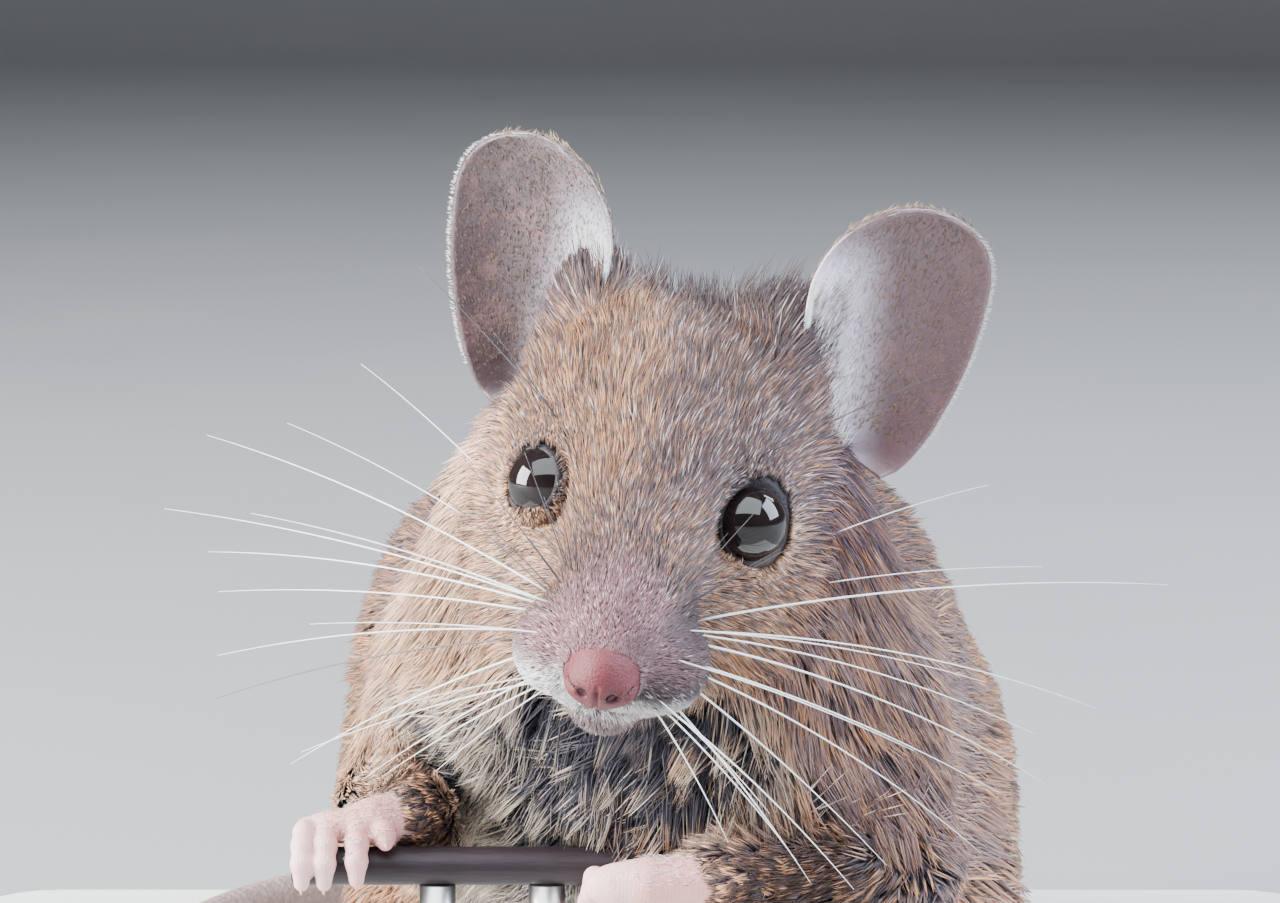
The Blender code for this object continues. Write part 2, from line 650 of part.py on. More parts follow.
def build_body(looks):
    body, outside = form(body_balls(), 0.8, body_field, 3100)
    build_feet(outside, looks["skin"])
    build_tail(outside, looks["tail"])
    for side, sign in (("right", -1.0), ("left", 1.0)):
        finish_node("ear_" + side, boolean(ear_mesh(sign, EAR_THICK), "DIFFERENCE", outside.copy()), looks["ear"])
        centre = from_head(np.array(EYE_PLACE) * (1.0, sign, 1.0))
        finish_node("eye_" + side, ball_mesh(centre, [EYE_RADIUS] * 3), looks["eye"])
        body = boolean(body, "DIFFERENCE", ball_mesh(centre, [EYE_RADIUS + GAP] * 3))
    body = boolean(body, "DIFFERENCE", perch_clearance())
    for x in ROD_PLACES:
        body = boolean(body, "DIFFERENCE", rod_clearance(x))

    for side in ("right", "left"):
        joints, radii = FORELEGS[side]
        leg, body = part_by_form(body, lambda points: foreleg_field(points, side), balls_along(joints, radii), 0.7, 1.3)
        finish_node("foreleg_" + side, tidy(thin_out(leg, 420)), looks["coat"])
        thigh = [(*THIGHS[side], UPRIGHT)] + balls_along(SHANKS[side][:2], SHANKS[side][2:])
        leg, body = part_by_form(body, lambda points: hindleg_field(points, side), thigh, 0.9, 1.8)
        finish_node("hindleg_" + side, tidy(thin_out(leg, 420)), looks["coat"])

    nape, throat = from_head((-10.0, 0.0, 8.0)), from_head((4.5, 0.0, -9.5))
    head, body = part_by_plane(body, nape, np.cross(throat - nape, HEAD_AXES[:, 1]))
    nose, head = part_by_plane(head, from_head((NOSE_CUT, 0.0, 0.0)), HEAD_AXES[:, 0])
    finish_node("head", tidy(thin_out(head, 1200)), looks["coat"])
    finish_node("nose", nose, looks["skin"])
    neck, trunk = part_by_plane(body, (0.0, 16.5, 42.0), (0.0, -22.0, 16.0))
    finish_node("neck", tidy(thin_out(neck, 420)), looks["coat"])
    finish_node("trunk", tidy(thin_out(trunk, 1600)), looks["coat"])


def main():
    for old in list(bpy.data.objects):
        bpy.data.objects.remove(old)
    looks = {
        "coat": material("coat", (0.27, 0.18, 0.11), 0.85),
        "skin": material("bare_skin", (0.75, 0.46, 0.40), 0.55),
        "ear": material("ear_skin", (0.42, 0.27, 0.24), 0.6),
        "tail": material("tail_skin", (0.40, 0.30, 0.27), 0.6),
        "eye": material("eye", (0.01, 0.01, 0.012), 0.06),
        "stand": material("stand", (0.80, 0.80, 0.78), 0.4),
        "perch": material("perch", (0.045, 0.03, 0.035), 0.4),
    }
    build_body(looks)
    build_stand(looks["stand"], looks["perch"])


main()
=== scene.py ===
# A house mouse in its coat, life size, looking up over a short rod on a plain stand.
# Lengths in the dictionaries are in units of the frame's own base: x to the mouse's left,
# y backwards, z up from the base's top. On the head they run forward, left and up
# from the middle between the eyes.
import math

import bmesh
import bpy
import numpy as np
from mathutils import Matrix, Vector
from mathutils.kdtree import KDTree


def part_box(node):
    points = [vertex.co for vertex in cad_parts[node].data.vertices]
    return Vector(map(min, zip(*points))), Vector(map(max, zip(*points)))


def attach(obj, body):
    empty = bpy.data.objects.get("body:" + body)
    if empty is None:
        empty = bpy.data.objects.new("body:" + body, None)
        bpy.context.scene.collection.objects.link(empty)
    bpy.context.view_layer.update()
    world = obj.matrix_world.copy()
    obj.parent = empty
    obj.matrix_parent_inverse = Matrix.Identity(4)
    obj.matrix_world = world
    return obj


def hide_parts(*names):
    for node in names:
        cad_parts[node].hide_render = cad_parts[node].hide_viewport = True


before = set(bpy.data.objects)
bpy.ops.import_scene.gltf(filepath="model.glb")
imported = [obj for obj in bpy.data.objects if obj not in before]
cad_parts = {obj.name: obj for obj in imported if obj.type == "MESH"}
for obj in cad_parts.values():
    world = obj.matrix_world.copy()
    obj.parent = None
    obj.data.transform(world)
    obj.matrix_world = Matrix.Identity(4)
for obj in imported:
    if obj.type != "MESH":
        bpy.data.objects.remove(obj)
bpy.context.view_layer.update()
rng = np.random.default_rng(31)
upright = np.eye(3)


# ---- the body's own frame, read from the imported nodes

pose = {
    "baseWidth": 84.0,
    "headPitch": 16.0,      # degrees, nose down
    "headYaw": 8.0,         # nose to the mouse's right
    "headRoll": 10.9,       # left side down
    "eyeForward": 0.4,
}


def spin(axis, degrees):
    return np.array(Matrix.Rotation(math.radians(degrees), 3, Vector(axis)))


def findHeadAxes():
    forward = np.array([0.0, -1.0, 0.0])
    left = np.array([1.0, 0.0, 0.0])
    up = np.array([0.0, 0.0, 1.0])
    turn = spin((0, 0, 1), -pose["headYaw"])
    forward = turn @ forward
    left = turn @ left
    turn = spin(left, pose["headPitch"])
    forward = turn @ forward
    up = turn @ up
    turn = spin(forward, -pose["headRoll"])
    return np.stack([forward, turn @ left, turn @ up], axis=1)


def middleOf(node):
    low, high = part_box(node)
    return np.array((low + high) / 2)


baseLow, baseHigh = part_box("stand_base")
unit = (baseHigh.x - baseLow.x) / pose["baseWidth"]
headAxes = findHeadAxes()
eyesWorld = (middleOf("eye_left") + middleOf("eye_right")) / 2 - headAxes[:, 0] * pose["eyeForward"] * unit
bodyOrigin = np.array([eyesWorld[0], eyesWorld[1], baseHigh.z])
eyesMiddle = (eyesWorld - bodyOrigin) / unit


def toWorld(points):
    return np.asarray(points, float) * unit + bodyOrigin


def toHead(points):
    return (points - eyesMiddle) @ headAxes


def fromHead(place):
    return eyesMiddle + np.asarray(place, float) @ headAxes.T


def bothSides(local):
    # head places with the right side folded onto the left
    folded = local.copy()
    folded[:, 1] = np.abs(folded[:, 1])
    return folded


# ---- the camera

cameraSetup = {
    "elevation": 8.0,       # degrees above the eyes
    "distance": 230.0,
    "aimLeft": -0.39,
    "aimUp": 2.32,
    "framedWidth": 62.439024,       # what the frame spans at that distance
    "sensor": 36.0,
}


def makeCamera():
    setup = cameraSetup
    turn = math.radians(setup["elevation"])
    ahead = np.array([0.0, math.cos(turn), -math.sin(turn)])
    above = np.array([0.0, math.sin(turn), math.cos(turn)])
    aim = eyesMiddle + np.array([setup["aimLeft"], 0.0, 0.0]) + above * setup["aimUp"]
    lens = bpy.data.cameras.new("camera")
    lens.sensor_width = setup["sensor"]
    lens.lens = setup["sensor"] * setup["distance"] / setup["framedWidth"]
    lens.clip_start = 0.01
    camera = bpy.data.objects.new("camera", lens)
    bpy.context.scene.collection.objects.link(camera)
    camera.location = toWorld(aim - ahead * setup["distance"])
    camera.rotation_euler = (math.radians(90.0 - setup["elevation"]), 0.0, 0.0)
    bpy.context.scene.camera = camera


# ---- shader helpers

class Value:
    # a node's output; arithmetic on it adds Math nodes

    def __init__(self, look, socket):
        self.look = look
        self.socket = socket

    def maths(self, operation, *values):
        inputs = dict(enumerate(values))
        return self.look.node("Math", {"operation": operation}, inputs)

    def __add__(self, other):
        return self.maths("ADD", self, other)

    def __radd__(self, other):
        return self.maths("ADD", other, self)

    def __sub__(self, other):
        return self.maths("SUBTRACT", self, other)

    def __rsub__(self, other):
        return self.maths("SUBTRACT", other, self)

    def __mul__(self, other):
        return self.maths("MULTIPLY", self, other)

    def __rmul__(self, other):
        return self.maths("MULTIPLY", other, self)

    def sine(self):
        return self.maths("SINE", self)

    def clip(self):
        return self.look.node("Clamp", {}, {"Value": self})


class Look:
    # a material and the nodes behind its one surface shader

    def __init__(self, name):
        self.material = bpy.data.materials.new(name)
        self.material.use_nodes = True
        self.tree = self.material.node_tree
        self.surface = self.tree.nodes["Principled BSDF"]

    def node(self, kind, settings=None, inputs=None, output=0):
        made = self.tree.nodes.new("ShaderNode" + kind)
        for name, value in (settings or {}).items():
            setattr(made, name, value)
        for name, value in (inputs or {}).items():
            self.feed(made.inputs[name], value)
        return Value(self, made.outputs[output])

    def feed(self, socket, value):
        if isinstance(value, Value):
            self.tree.links.new(value.socket, socket)
        elif isinstance(value, tuple) and len(value) == 3 and socket.type == "RGBA":
            socket.default_value = (*value, 1.0)
        else:
            socket.default_value = value

    def attribute(self, name, output="Color"):
        return self.node("Attribute", {"attribute_name": name}, output=output)

    def mix(self, first, second, share, blending="MIX"):
        settings = {"data_type": "RGBA", "blend_type": blending}
        return self.node("Mix", settings, {0: share, 6: first, 7: second}, output=2)

    def places(self):
        # object places, in the body's own units
        where = self.node("TexCoord", output="Object")
        return self.node("VectorMath", {"operation": "SCALE"}, {"Vector": where, "Scale": 1.0 / unit})

    def noise(self, scale, detail=3.0, roughness=0.5):
        inputs = {"Vector": self.places(), "Scale": scale, "Detail": detail, "Roughness": roughness}
        return self.node("TexNoise", {}, inputs)

    def bump(self, height, distance, strength=1.0):
        inputs = {"Height": height, "Distance": distance * unit, "Strength": strength}
        return self.node("Bump", {}, inputs)

    def finish(self, **inputs):
        for name, value in inputs.items():
            self.feed(self.surface.inputs[name.replace("_", " ")], value)
        return self.material


# ---- distance fields, the same lumps as the solids

def ellipsoid(points, centre, radii):
    offset = points - np.array(centre, float)
    near = np.linalg.norm(offset / radii, axis=1)
    slope = np.linalg.norm(offset / np.square(radii), axis=1)
    return near * (near - 1.0) / np.maximum(slope, 1e-6)


def limb(points, start, end, startRadius, endRadius):
    start = np.array(start, float)
    along = np.array(end, float) - start
    share = np.clip((points - start) @ along / (along @ along), 0.0, 1.0)
    nearest = start + share[:, None] * along
    return np.linalg.norm(points - nearest, axis=1) - (startRadius + (endRadius - startRadius) * share)


def blend(first, second, width):
    mix = np.maximum(width - np.abs(first - second), 0.0) / width
    return np.minimum(first, second) - mix * mix * width * 0.25


def chain(points, joints, radii, width):
    field = limb(points, joints[0], joints[1], radii[0], radii[1])
    for i in range(1, len(joints) - 1):
        field = blend(field, limb(points, joints[i], joints[i + 1], radii[i], radii[i + 1]), width)
    return field


def smoothStep(values, low, high):
    share = np.clip((values - low) / (high - low), 0.0, 1.0)
    return share * share * (3.0 - 2.0 * share)


def unitVectors(vectors):
    return vectors / np.maximum(np.linalg.norm(vectors, axis=-1, keepdims=True), 1e-9)


trunk = {
    "chest": ((0.6, 15.0, 20.6), (14.4, 14.6, 14.6)),
    "back": ((0.7, 29.0, 18.8), (17.5, 16.5, 18.0)),
    "rump": ((2.8, 45.0, 16.3), (16.2, 15.5, 15.4)),
    "throat": ((1.5, 5.5, 20.5), (8.0, 6.6, 8.0)),
    "neck": ((0.4, 10.0, 31.6), (11.2, 9.6, 9.6)),
    "tailBase": ((3.4, 54.0, 10.0), (3.2, 60.0, 5.0), 5.0, 2.0),
}

skull = {
    "cranium": ((-5.4, 0.0, 1.2), (8.0, 6.9, 6.9)),
    "nosePad": ((11.9, 0.0, -3.5), (1.95, 1.6, 1.85)),
    "cheek": ((-3.4, 3.8, -3.9), (5.8, 3.7, 4.4)),
    "earRoot": ((-8.3, 4.7, 5.2), (2.7, 2.8, 4.3)),
    "eyeRim": ((-0.2, 3.2, 0.1), (2.6, 2.2, 2.5)),
    "whiskerPad": ((8.0, 2.4, -4.5), (3.1, 2.4, 2.4)),
    "snout": ((-0.5, 0.0, -0.8), (10.2, 0.0, -2.9), 4.6, 2.2),
    "bridge": ((0.0, 0.0, 1.6), (9.5, 0.0, -1.6), 3.6, 2.1),
    "jaw": ((-1.0, 0.0, -4.6), (7.6, 0.0, -7.1), 4.4, 1.9),
    "eyeHollow": (1.3, 4.9, 0.1),
    "eyeHollowRadius": 2.2,
}

lumps = {
    # in the order in which they are joined
    "trunk": ("back", "rump", "throat", "neck"),
    "skullLimbs": ("snout", "bridge", "jaw"),
    "skullPairs": ("cheek", "earRoot", "eyeRim", "whiskerPad"),
}

blends = {
    # how widely each lump flows into those before it
    "snout": 4.0,
    "bridge": 1.5,
    "jaw": 2.5,
    "cheek": 3.0,
    "earRoot": 2.2,
    "eyeRim": 1.6,
    "whiskerPad": 1.4,
    "nosePad": 1.0,
    "eyeHollow": 0.8,
    "back": 7.0,
    "rump": 7.0,
    "throat": 5.0,
    "neck": 6.0,
    "tailBase": 4.0,
    "head": 4.5,
    "ankle": 1.0,
    "thigh": 3.0,
    "elbow": 2.0,
    "hindleg": 4.0,
    "foreleg": 1.6,
}

legs = {
    "foreleg_right": (((-8.5, 12.5, 22.5), (-12.6, 8.6, 17.2), (-11.9, 2.2, 18.1)), (5.4, 3.2, 1.6)),
    "foreleg_left": (((9.5, 12.5, 21.5), (13.4, 5.6, 14.8), (3.8, -2.0, 15.9)), (5.4, 2.6, 1.4)),
    "hindleg_right": (((-13.0, 29.0, 7.0), (-11.5, 44.0, 3.2)), (4.0, 2.0)),
    "hindleg_left": (((17.6, 29.0, 7.0), (16.0, 44.0, 3.2)), (4.0, 2.0)),
    "thigh_right": ((-11.2, 37.0, 11.0), (6.6, 12.0, 10.2)),
    "thigh_left": ((14.9, 37.0, 11.0), (6.6, 12.0, 10.2)),
}
legNames = ("foreleg_right", "hindleg_right", "foreleg_left", "hindleg_left")


def legName(side, hind):
    return ("hindleg_" if hind else "foreleg_") + side


def fromEnd(points, name):
    # distance from a foreleg's wrist or a hind leg's heel
    return np.linalg.norm(points - np.array(legs[name][0][-1]), axis=1)


def headField(local):
    folded = bothSides(local)
    field = ellipsoid(local, *skull["cranium"])
    for name in lumps["skullLimbs"]:
        field = blend(field, limb(local, *skull[name]), blends[name])
    for name in lumps["skullPairs"]:
        field = blend(field, ellipsoid(folded, *skull[name]), blends[name])
    field = blend(field, ellipsoid(local, *skull["nosePad"]), blends["nosePad"])
    hollow = skull["eyeHollowRadius"] - np.linalg.norm(folded - skull["eyeHollow"], axis=1)
    return -blend(-field, -hollow, blends["eyeHollow"])


def trunkField(points):
    field = ellipsoid(points, *trunk["chest"])
    for name in lumps["trunk"]:
        field = blend(field, ellipsoid(points, *trunk[name]), blends[name])
    return blend(field, limb(points, *trunk["tailBase"]), blends["tailBase"])


def bodyParts(points):
    parts = {"trunk": trunkField(points), "head": headField(toHead(points))}
    for side in ("right", "left"):
        thigh = ellipsoid(points, *legs["thigh_" + side])
        shank = chain(points, *legs["hindleg_" + side], blends["ankle"])
        parts["hindleg_" + side] = blend(thigh, shank, blends["thigh"])
        parts["foreleg_" + side] = chain(points, *legs["foreleg_" + side], blends["elbow"])
    return parts


def joinParts(parts, armpit):
    field = blend(parts["trunk"], parts["head"], blends["head"])
    for side in ("right", "left"):
        field = blend(field, parts["hindleg_" + side], blends["hindleg"])
        field = blend(field, parts["foreleg_" + side], armpit)
    return field


def bodyField(points):
    return joinParts(bodyParts(points), blends["foreleg"])


def partShares(parts):
    # how much each point belongs to the head and to the legs, 0 to 1
    rest = np.minimum(parts["trunk"], parts["head"])
    shares = {"head": smoothStep(parts["trunk"] - parts["head"], -2.0, 2.0)}
    for name in legNames:
        shares[name] = smoothStep(rest - parts[name], -1.0, 1.4)
    return shares


# ---- the coat's depth over the skin

coatDepths = {
    "trunk": 1.9,
    "tailBase": 0.3,
    "rump": (52.0, 59.0),       # from the one depth to the other, by place back
    "headForward": (-11.0, -6.0, 0.0, 4.0, 8.0, 10.3, 12.0, 13.0),
    "head": (1.3, 0.95, 0.62, 0.5, 0.34, 0.2, 0.1, 0.0),
    "nearEye": 0.22,
    "eyeReach": (2.3, 4.2),
    "foreleg": ((0.0, 2.0, 6.0, 10.0), (0.2, 0.35, 0.8, 1.3)),      # by distance from the wrist
    "hindleg": ((0.0, 3.0, 10.0, 18.0), (0.2, 0.4, 1.2, 1.7)),      # by distance from the heel
}

eyes = {
    "radius": 2.0,
    "place": (0.4, 4.9, 0.0),
    "facing": (0.761, 0.595, 0.259),
    "lidPlane": {-1: 1.3, 1: 0.74},       # how far before the ball's middle the lids end, by side
    "lidThickness": 0.12,
    "lidBlunt": 0.12,
    "lidSlant": (0.05, 0.10),       # of the lids' edge, forward and up
    "cornea": (0.05, 0.7),          # how far it stands out, and over what angle
    "rows": 40,
    "sides": 56,
}


def fromEye(folded):
    return np.linalg.norm(folded - eyes["place"], axis=1)


def coatDepth(points, parts):
    shares = partShares(parts)
    local = toHead(points)
    thinning = smoothStep(points[:, 1], *coatDepths["rump"])
    depth = coatDepths["trunk"] + (coatDepths["tailBase"] - coatDepths["trunk"]) * thinning
    headDepth = np.interp(local[:, 0], coatDepths["headForward"], coatDepths["head"])
    nearEye = 1.0 - smoothStep(fromEye(bothSides(local)), *coatDepths["eyeReach"])
    headDepth = headDepth + (np.minimum(headDepth, coatDepths["nearEye"]) - headDepth) * nearEye
    depth = depth + (headDepth - depth) * shares["head"]
    for name in legNames:
        legDepth = np.interp(fromEnd(points, name), *coatDepths[name.split("_")[0]])
        depth = depth + (legDepth - depth) * shares[name]
    return depth


# ---- the skin's field: the body under its coat, with lids, nostrils and lips

faceDetail = {
    "noseWing": ((12.2, 0.98, -3.95), (1.15, 0.72, 0.8)),
    "nostril": ((13.45, 0.62, -3.95), (12.35, 1.08, -3.65), 0.17, 0.26),
    "noseGroove": (0.1, 0.2),          # half width and depth
    "lipGroove": (0.2, 0.22),
    "grooveUp": ((-3.1, -4.0), (-7.2, -6.4)),       # fades in and out, by height
    "grooveForward": (8.0, 9.5),
    "mouthUp": -6.55,
    "mouthCurve": (11.0, 0.05, 1.5),        # starts behind this; how fast it rises
    "mouthForward": (4.5, 6.5),
    "lip": ((9.9, 0.75, -5.9), (7.4, 2.5, -6.2), 0.5, 0.6),
    "chin": ((7.9, 0.0, -7.2), (1.2, 1.1, 0.9)),
    "blends": {"noseWing": 0.5, "lip": 0.9, "chin": 0.8, "nostril": 0.3, "lids": 0.45},
}


def lidEdge(local):
    # how far ahead of the lids' edge a place lies, measured the way the eye looks
    offset = bothSides(local) - np.array(eyes["place"])
    plane = np.where(local[:, 1] < 0.0, eyes["lidPlane"][-1], eyes["lidPlane"][1])
    forward, up = eyes["lidSlant"]
    return offset @ unitVectors(np.array(eyes["facing"])) + up * offset[:, 2] - forward * offset[:, 0] - plane


def lidField(local):
    # a cap round the eyeball, cut open before the pupil; its blunt rim is the lids' edge
    cap = fromEye(bothSides(local)) - eyes["radius"] - eyes["lidThickness"]
    return -blend(-cap, -lidEdge(local), eyes["lidBlunt"])


def skinField(points):
    parts = bodyParts(points)
    field = joinParts(parts, skinMesh["armpit"]) + coatDepth(points, parts)
    local = toHead(points)
    folded = bothSides(local)
    forward, left, up = local.T
    face = faceDetail
    field = blend(field, ellipsoid(folded, *face["noseWing"]), face["blends"]["noseWing"])
    field = blend(field, limb(folded, *face["lip"]), face["blends"]["lip"])
    field = blend(field, ellipsoid(local, *face["chin"]), face["blends"]["chin"])
    field = -blend(-field, limb(folded, *face["nostril"]), face["blends"]["nostril"])
    width, depth = face["noseGroove"]
    starting, ending = face["grooveUp"]
    below = smoothStep(up, *starting) * smoothStep(forward, *face["grooveForward"]) * smoothStep(up, *ending)
    field = field + depth * np.exp(-(left / width) ** 2) * below
    width, depth = face["lipGroove"]
    behind, pace, power = face["mouthCurve"]
    mouthHeight = face["mouthUp"] + pace * np.maximum(behind - forward, 0.0) ** power
    mouth = np.exp(-((up - mouthHeight) / width) ** 2) * smoothStep(forward, *face["mouthForward"])
    field = field + depth * mouth
    return blend(field, lidField(local), face["blends"]["lids"])


# ---- mesh helpers

def addObject(name, mesh):
    made = bpy.data.objects.new(name, mesh)
    bpy.context.scene.collection.objects.link(made)
    return made


def evaluated(piece):
    bpy.context.view_layer.update()
    made = bpy.data.meshes.new_from_object(piece.evaluated_get(bpy.context.evaluated_depsgraph_get()))
    bpy.data.objects.remove(piece)
    return made


def readVectors(owners, name):
    flat = np.empty(len(owners) * 3, np.float32)
    owners.foreach_get(name, flat)
    return flat.reshape(-1, 3).astype(float)


def readPoints(mesh):
    return readVectors(mesh.vertices, "co")


def writePoints(mesh, points):
    mesh.vertices.foreach_set("co", np.asarray(points, np.float32).ravel())
    mesh.update()


def meshFrom(name, points, triangles):
    mesh = bpy.data.meshes.new(name)
    mesh.vertices.add(len(points))
    mesh.vertices.foreach_set("co", np.asarray(points, np.float32).ravel())
    mesh.loops.add(triangles.size)
    mesh.loops.foreach_set("vertex_index", np.asarray(triangles, np.int32).ravel())
    mesh.polygons.add(len(triangles))
    mesh.polygons.foreach_set("loop_start", np.arange(0, triangles.size, 3, dtype=np.int32))
    mesh.polygons.foreach_set("use_smooth", np.ones(len(triangles), bool))
    mesh.update(calc_edges=True)
    return mesh


def slopeOf(points, field, here):
    reach = 0.02
    return np.stack([(field(points + step) - here) / reach for step in np.eye(3) * reach], axis=1)


def settle(points, field, level, rounds, longest=1.5):
    # moves points along the field's slope until they lie at the level
    for _ in range(rounds):
        here = field(points)
        slope = slopeOf(points, field, here)
        share = (here - level) / np.maximum((slope ** 2).sum(axis=1), 0.05)
        move = slope * share[:, None]
        size = np.linalg.norm(move, axis=1, keepdims=True)
        points = points - move * np.minimum(1.0, longest / np.maximum(size, 1e-9))
    return points


def settleMesh(mesh, field, rounds, longest=1.5):
    writePoints(mesh, settle(readPoints(mesh), field, 0.0, rounds, longest))


def roughForm(balls, voxel):
    work = bmesh.new()
    for centre, radii, axes in balls:
        place = Matrix.Translation(Vector(centre)) @ Matrix(axes).to_4x4() @ Matrix.Diagonal((*radii, 1.0))
        bmesh.ops.create_icosphere(work, subdivisions=3, radius=1.0, matrix=place)
    mesh = bpy.data.meshes.new("rough")
    work.to_mesh(mesh)
    work.free()
    piece = addObject("rough", mesh)
    remesh = piece.modifiers.new("oneSkin", "REMESH")
    remesh.mode = "VOXEL"
    remesh.voxel_size = voxel
    return evaluated(piece)


def ballsAlong(joints, radii, spacing=0.5):
    balls = []
    for i in range(len(joints) - 1):
        start = np.array(joints[i], float)
        end = np.array(joints[i + 1], float)
        smallest = min(radii[i], radii[i + 1])
        count = max(2, int(np.linalg.norm(end - start) / (smallest * spacing)) + 2)
        for share in np.linspace(0.0, 1.0, count):
            size = radii[i] + (radii[i + 1] - radii[i]) * share
            balls.append((start + (end - start) * share, (size, size, size), upright))
    return balls


def bodyBalls():
    balls = [(*trunk[name], upright) for name in ("chest", *lumps["trunk"])]
    balls += ballsAlong(trunk["tailBase"][:2], trunk["tailBase"][2:])
    for name in ("cranium", "nosePad"):
        centre, radii = skull[name]
        balls.append((fromHead(centre), radii, headAxes))
    for name in lumps["skullPairs"]:
        (forward, left, up), radii = skull[name]
        balls += [(fromHead((forward, side * left, up)), radii, headAxes) for side in (-1, 1)]
    for name in lumps["skullLimbs"]:
        start, end, startRadius, endRadius = skull[name]
        balls += ballsAlong([fromHead(start), fromHead(end)], [startRadius, endRadius])
    for side in ("right", "left"):
        balls.append((*legs["thigh_" + side], upright))
        balls += ballsAlong(*legs["hindleg_" + side])
        balls += ballsAlong(*legs["foreleg_" + side])
    return balls


def centresOf(mesh):
    return readVectors(mesh.polygons, "center")


def refine(mesh, chosen):
    # halves the chosen faces' edges
    work = bmesh.new()
    work.from_mesh(mesh)
    work.faces.ensure_lookup_table()
    edges = {edge for i in np.flatnonzero(chosen) for edge in work.faces[i].edges}
    bmesh.ops.subdivide_edges(work, edges=list(edges), cuts=1, use_grid_fill=True)
    work.to_mesh(mesh)
    work.free()


def relax(mesh, rounds):
    work = bmesh.new()
    work.from_mesh(mesh)
    for _ in range(rounds):
        bmesh.ops.smooth_vert(work, verts=work.verts, factor=0.5, use_axis_x=True, use_axis_y=True, use_axis_z=True)
    work.to_mesh(mesh)
    work.free()


# ---- the body's skin

skinMesh = {
    "voxel": 0.52,
    "armpit": 4.5,         # how widely the forelegs flow into the body under the coat
    "faceBack": -3.2,      # first refining lies ahead of this
    "snoutBack": 6.5,      # the second ahead of this, and round the eyes
    "noseBack": 10.2,      # the third ahead of this, and close round the eyes
    "eyeReach": (3.9, 2.9),
}


def makeCoarseSkin():
    mesh = roughForm(bodyBalls(), skinMesh["voxel"])
    for rounds in (5, 3):
        settleMesh(mesh, skinField, rounds)
        relax(mesh, 2)
    settleMesh(mesh, skinField, 2)
    return mesh


def makeFineSkin(coarse):
    mesh = coarse.copy()
    for level in range(3):
        centres = centresOf(mesh)
        local = toHead(centres)
        inHead = partShares(bodyParts(centres))["head"] > 0.3
        eye = fromEye(bothSides(local))
        if level == 0:
            chosen = local[:, 0] > skinMesh["faceBack"]
        elif level == 1:
            chosen = (local[:, 0] > skinMesh["snoutBack"]) | (eye < skinMesh["eyeReach"][0])
        else:
            chosen = (local[:, 0] > skinMesh["noseBack"]) | (eye < skinMesh["eyeReach"][1])
        refine(mesh, chosen & inHead)
        points = readPoints(mesh)
        near = toHead(points)[:, 0] > skinMesh["faceBack"] - 2.0
        points[near] = settle(points[near], skinField, 0.0, 3, 0.4)
        writePoints(mesh, points)
    return mesh


# ---- the ears

ears = {
    "length": 14.9,
    "width": 10.0,
    "base": {-1: (-9.6, -8.1, -1.2), 1: (-9.6, 9.6, -1.2)},
    "tipWay": (0.06, 0.07, 1.0),
    "facing": (0.86, 0.50, 0.02),
    "cup": 2.3,
    "widest": 0.69,
    # each ear's colour scaled by side: painted light, the mouse's left ear painted brighter and its right ear dimmer
    # as the light falls on them
    "paintedLightBySide": {-1: 0.72, 1: 1.8},
    "lobe": 0.5,            # below 1, the outer edge is rounder low down than the inner
    "rootShare": 0.28,      # of its width, at the root
    "tipRoundness": 2.2,
    "backBend": 0.9,
    "hollowDepth": (0.45, 0.55, 1.4),
    "frontFold": (0.5, -0.86, 0.11),        # height, place across and reach
    "innerFold": (0.42, -0.28, 0.16),
    "rippleHeight": 0.05,
    "rows": 64,
    "columns": 48,
    "thickness": 0.13,      # half, at the middle of the sheet
    "rimThickness": 0.2,
}


def pastWidest(share):
    return np.clip((share - ears["widest"]) / (1.0 - ears["widest"]), 0.0, 1.0)


def earHalfWidth(across, share):
    fullness = np.where(across > 0.0, ears["lobe"], 1.0)
    least = ears["rootShare"]
    rising = least + (1.0 - least) * np.sin(math.pi / 2 * np.minimum(share / ears["widest"], 1.0)) ** fullness
    falling = np.sqrt(1.0 - pastWidest(share) ** ears["tipRoundness"])
    return ears["width"] / 2 * np.where(share < ears["widest"], rising, falling)


def earFolds(across, share):
    # soft ridges inside the cup: the rolled front edge, the inner fold and faint ripples
    height, place, reach = ears["frontFold"]
    front = height * np.exp(-((across - place) / reach) ** 2) * smoothStep(share, 0.72, 0.2)
    height, place, reach = ears["innerFold"]
    fold = height * np.exp(-((across - place + 0.5 * share) / reach) ** 2) * smoothStep(share, 0.46, 0.2)
    ripples = ears["rippleHeight"] * np.sin(9.0 * across + 5.0 * share) * np.sin(7.0 * share + 1.0)
    return front + fold + ripples


def earSheet(side, across, share):
    # the middle of the ear's sheet: across from its inner edge, -1, to its outer edge, 1
    tipWay = unitVectors(np.array(ears["tipWay"]))
    facing = np.array(ears["facing"]) - tipWay * np.dot(ears["facing"], tipWay)
    facing = unitVectors(facing)
    outward = np.cross(tipWay, facing)
    closing = np.sqrt(1.0 - pastWidest(share) ** 2)
    tipDepth, rootDepth, power = ears["hollowDepth"]
    depth = tipDepth + rootDepth * np.cos(math.pi / 2 * share ** power)
    hollow = ears["cup"] * (1.0 - across ** 2) * depth * closing
    back = hollow + ears["backBend"] * share ** 2 - earFolds(across, share) * closing
    local = tipWay * (ears["length"] * share)[..., None] + outward * (earHalfWidth(across, share) * across)[..., None]
    local = local - facing * back[..., None]
    return fromHead(np.array(ears["base"][side]) + local * np.array([1.0, side, 1.0]))


def gridTriangles(rows, columns, flip=False):
    start = (np.arange(rows - 1)[:, None] * columns + np.arange(columns - 1)[None, :]).ravel()
    corners = np.stack([start, start + 1, start + columns + 1, start + columns], axis=1)
    triangles = np.concatenate([corners[:, [0, 1, 2]], corners[:, [0, 2, 3]]])
    return triangles[:, ::-1] if flip else triangles


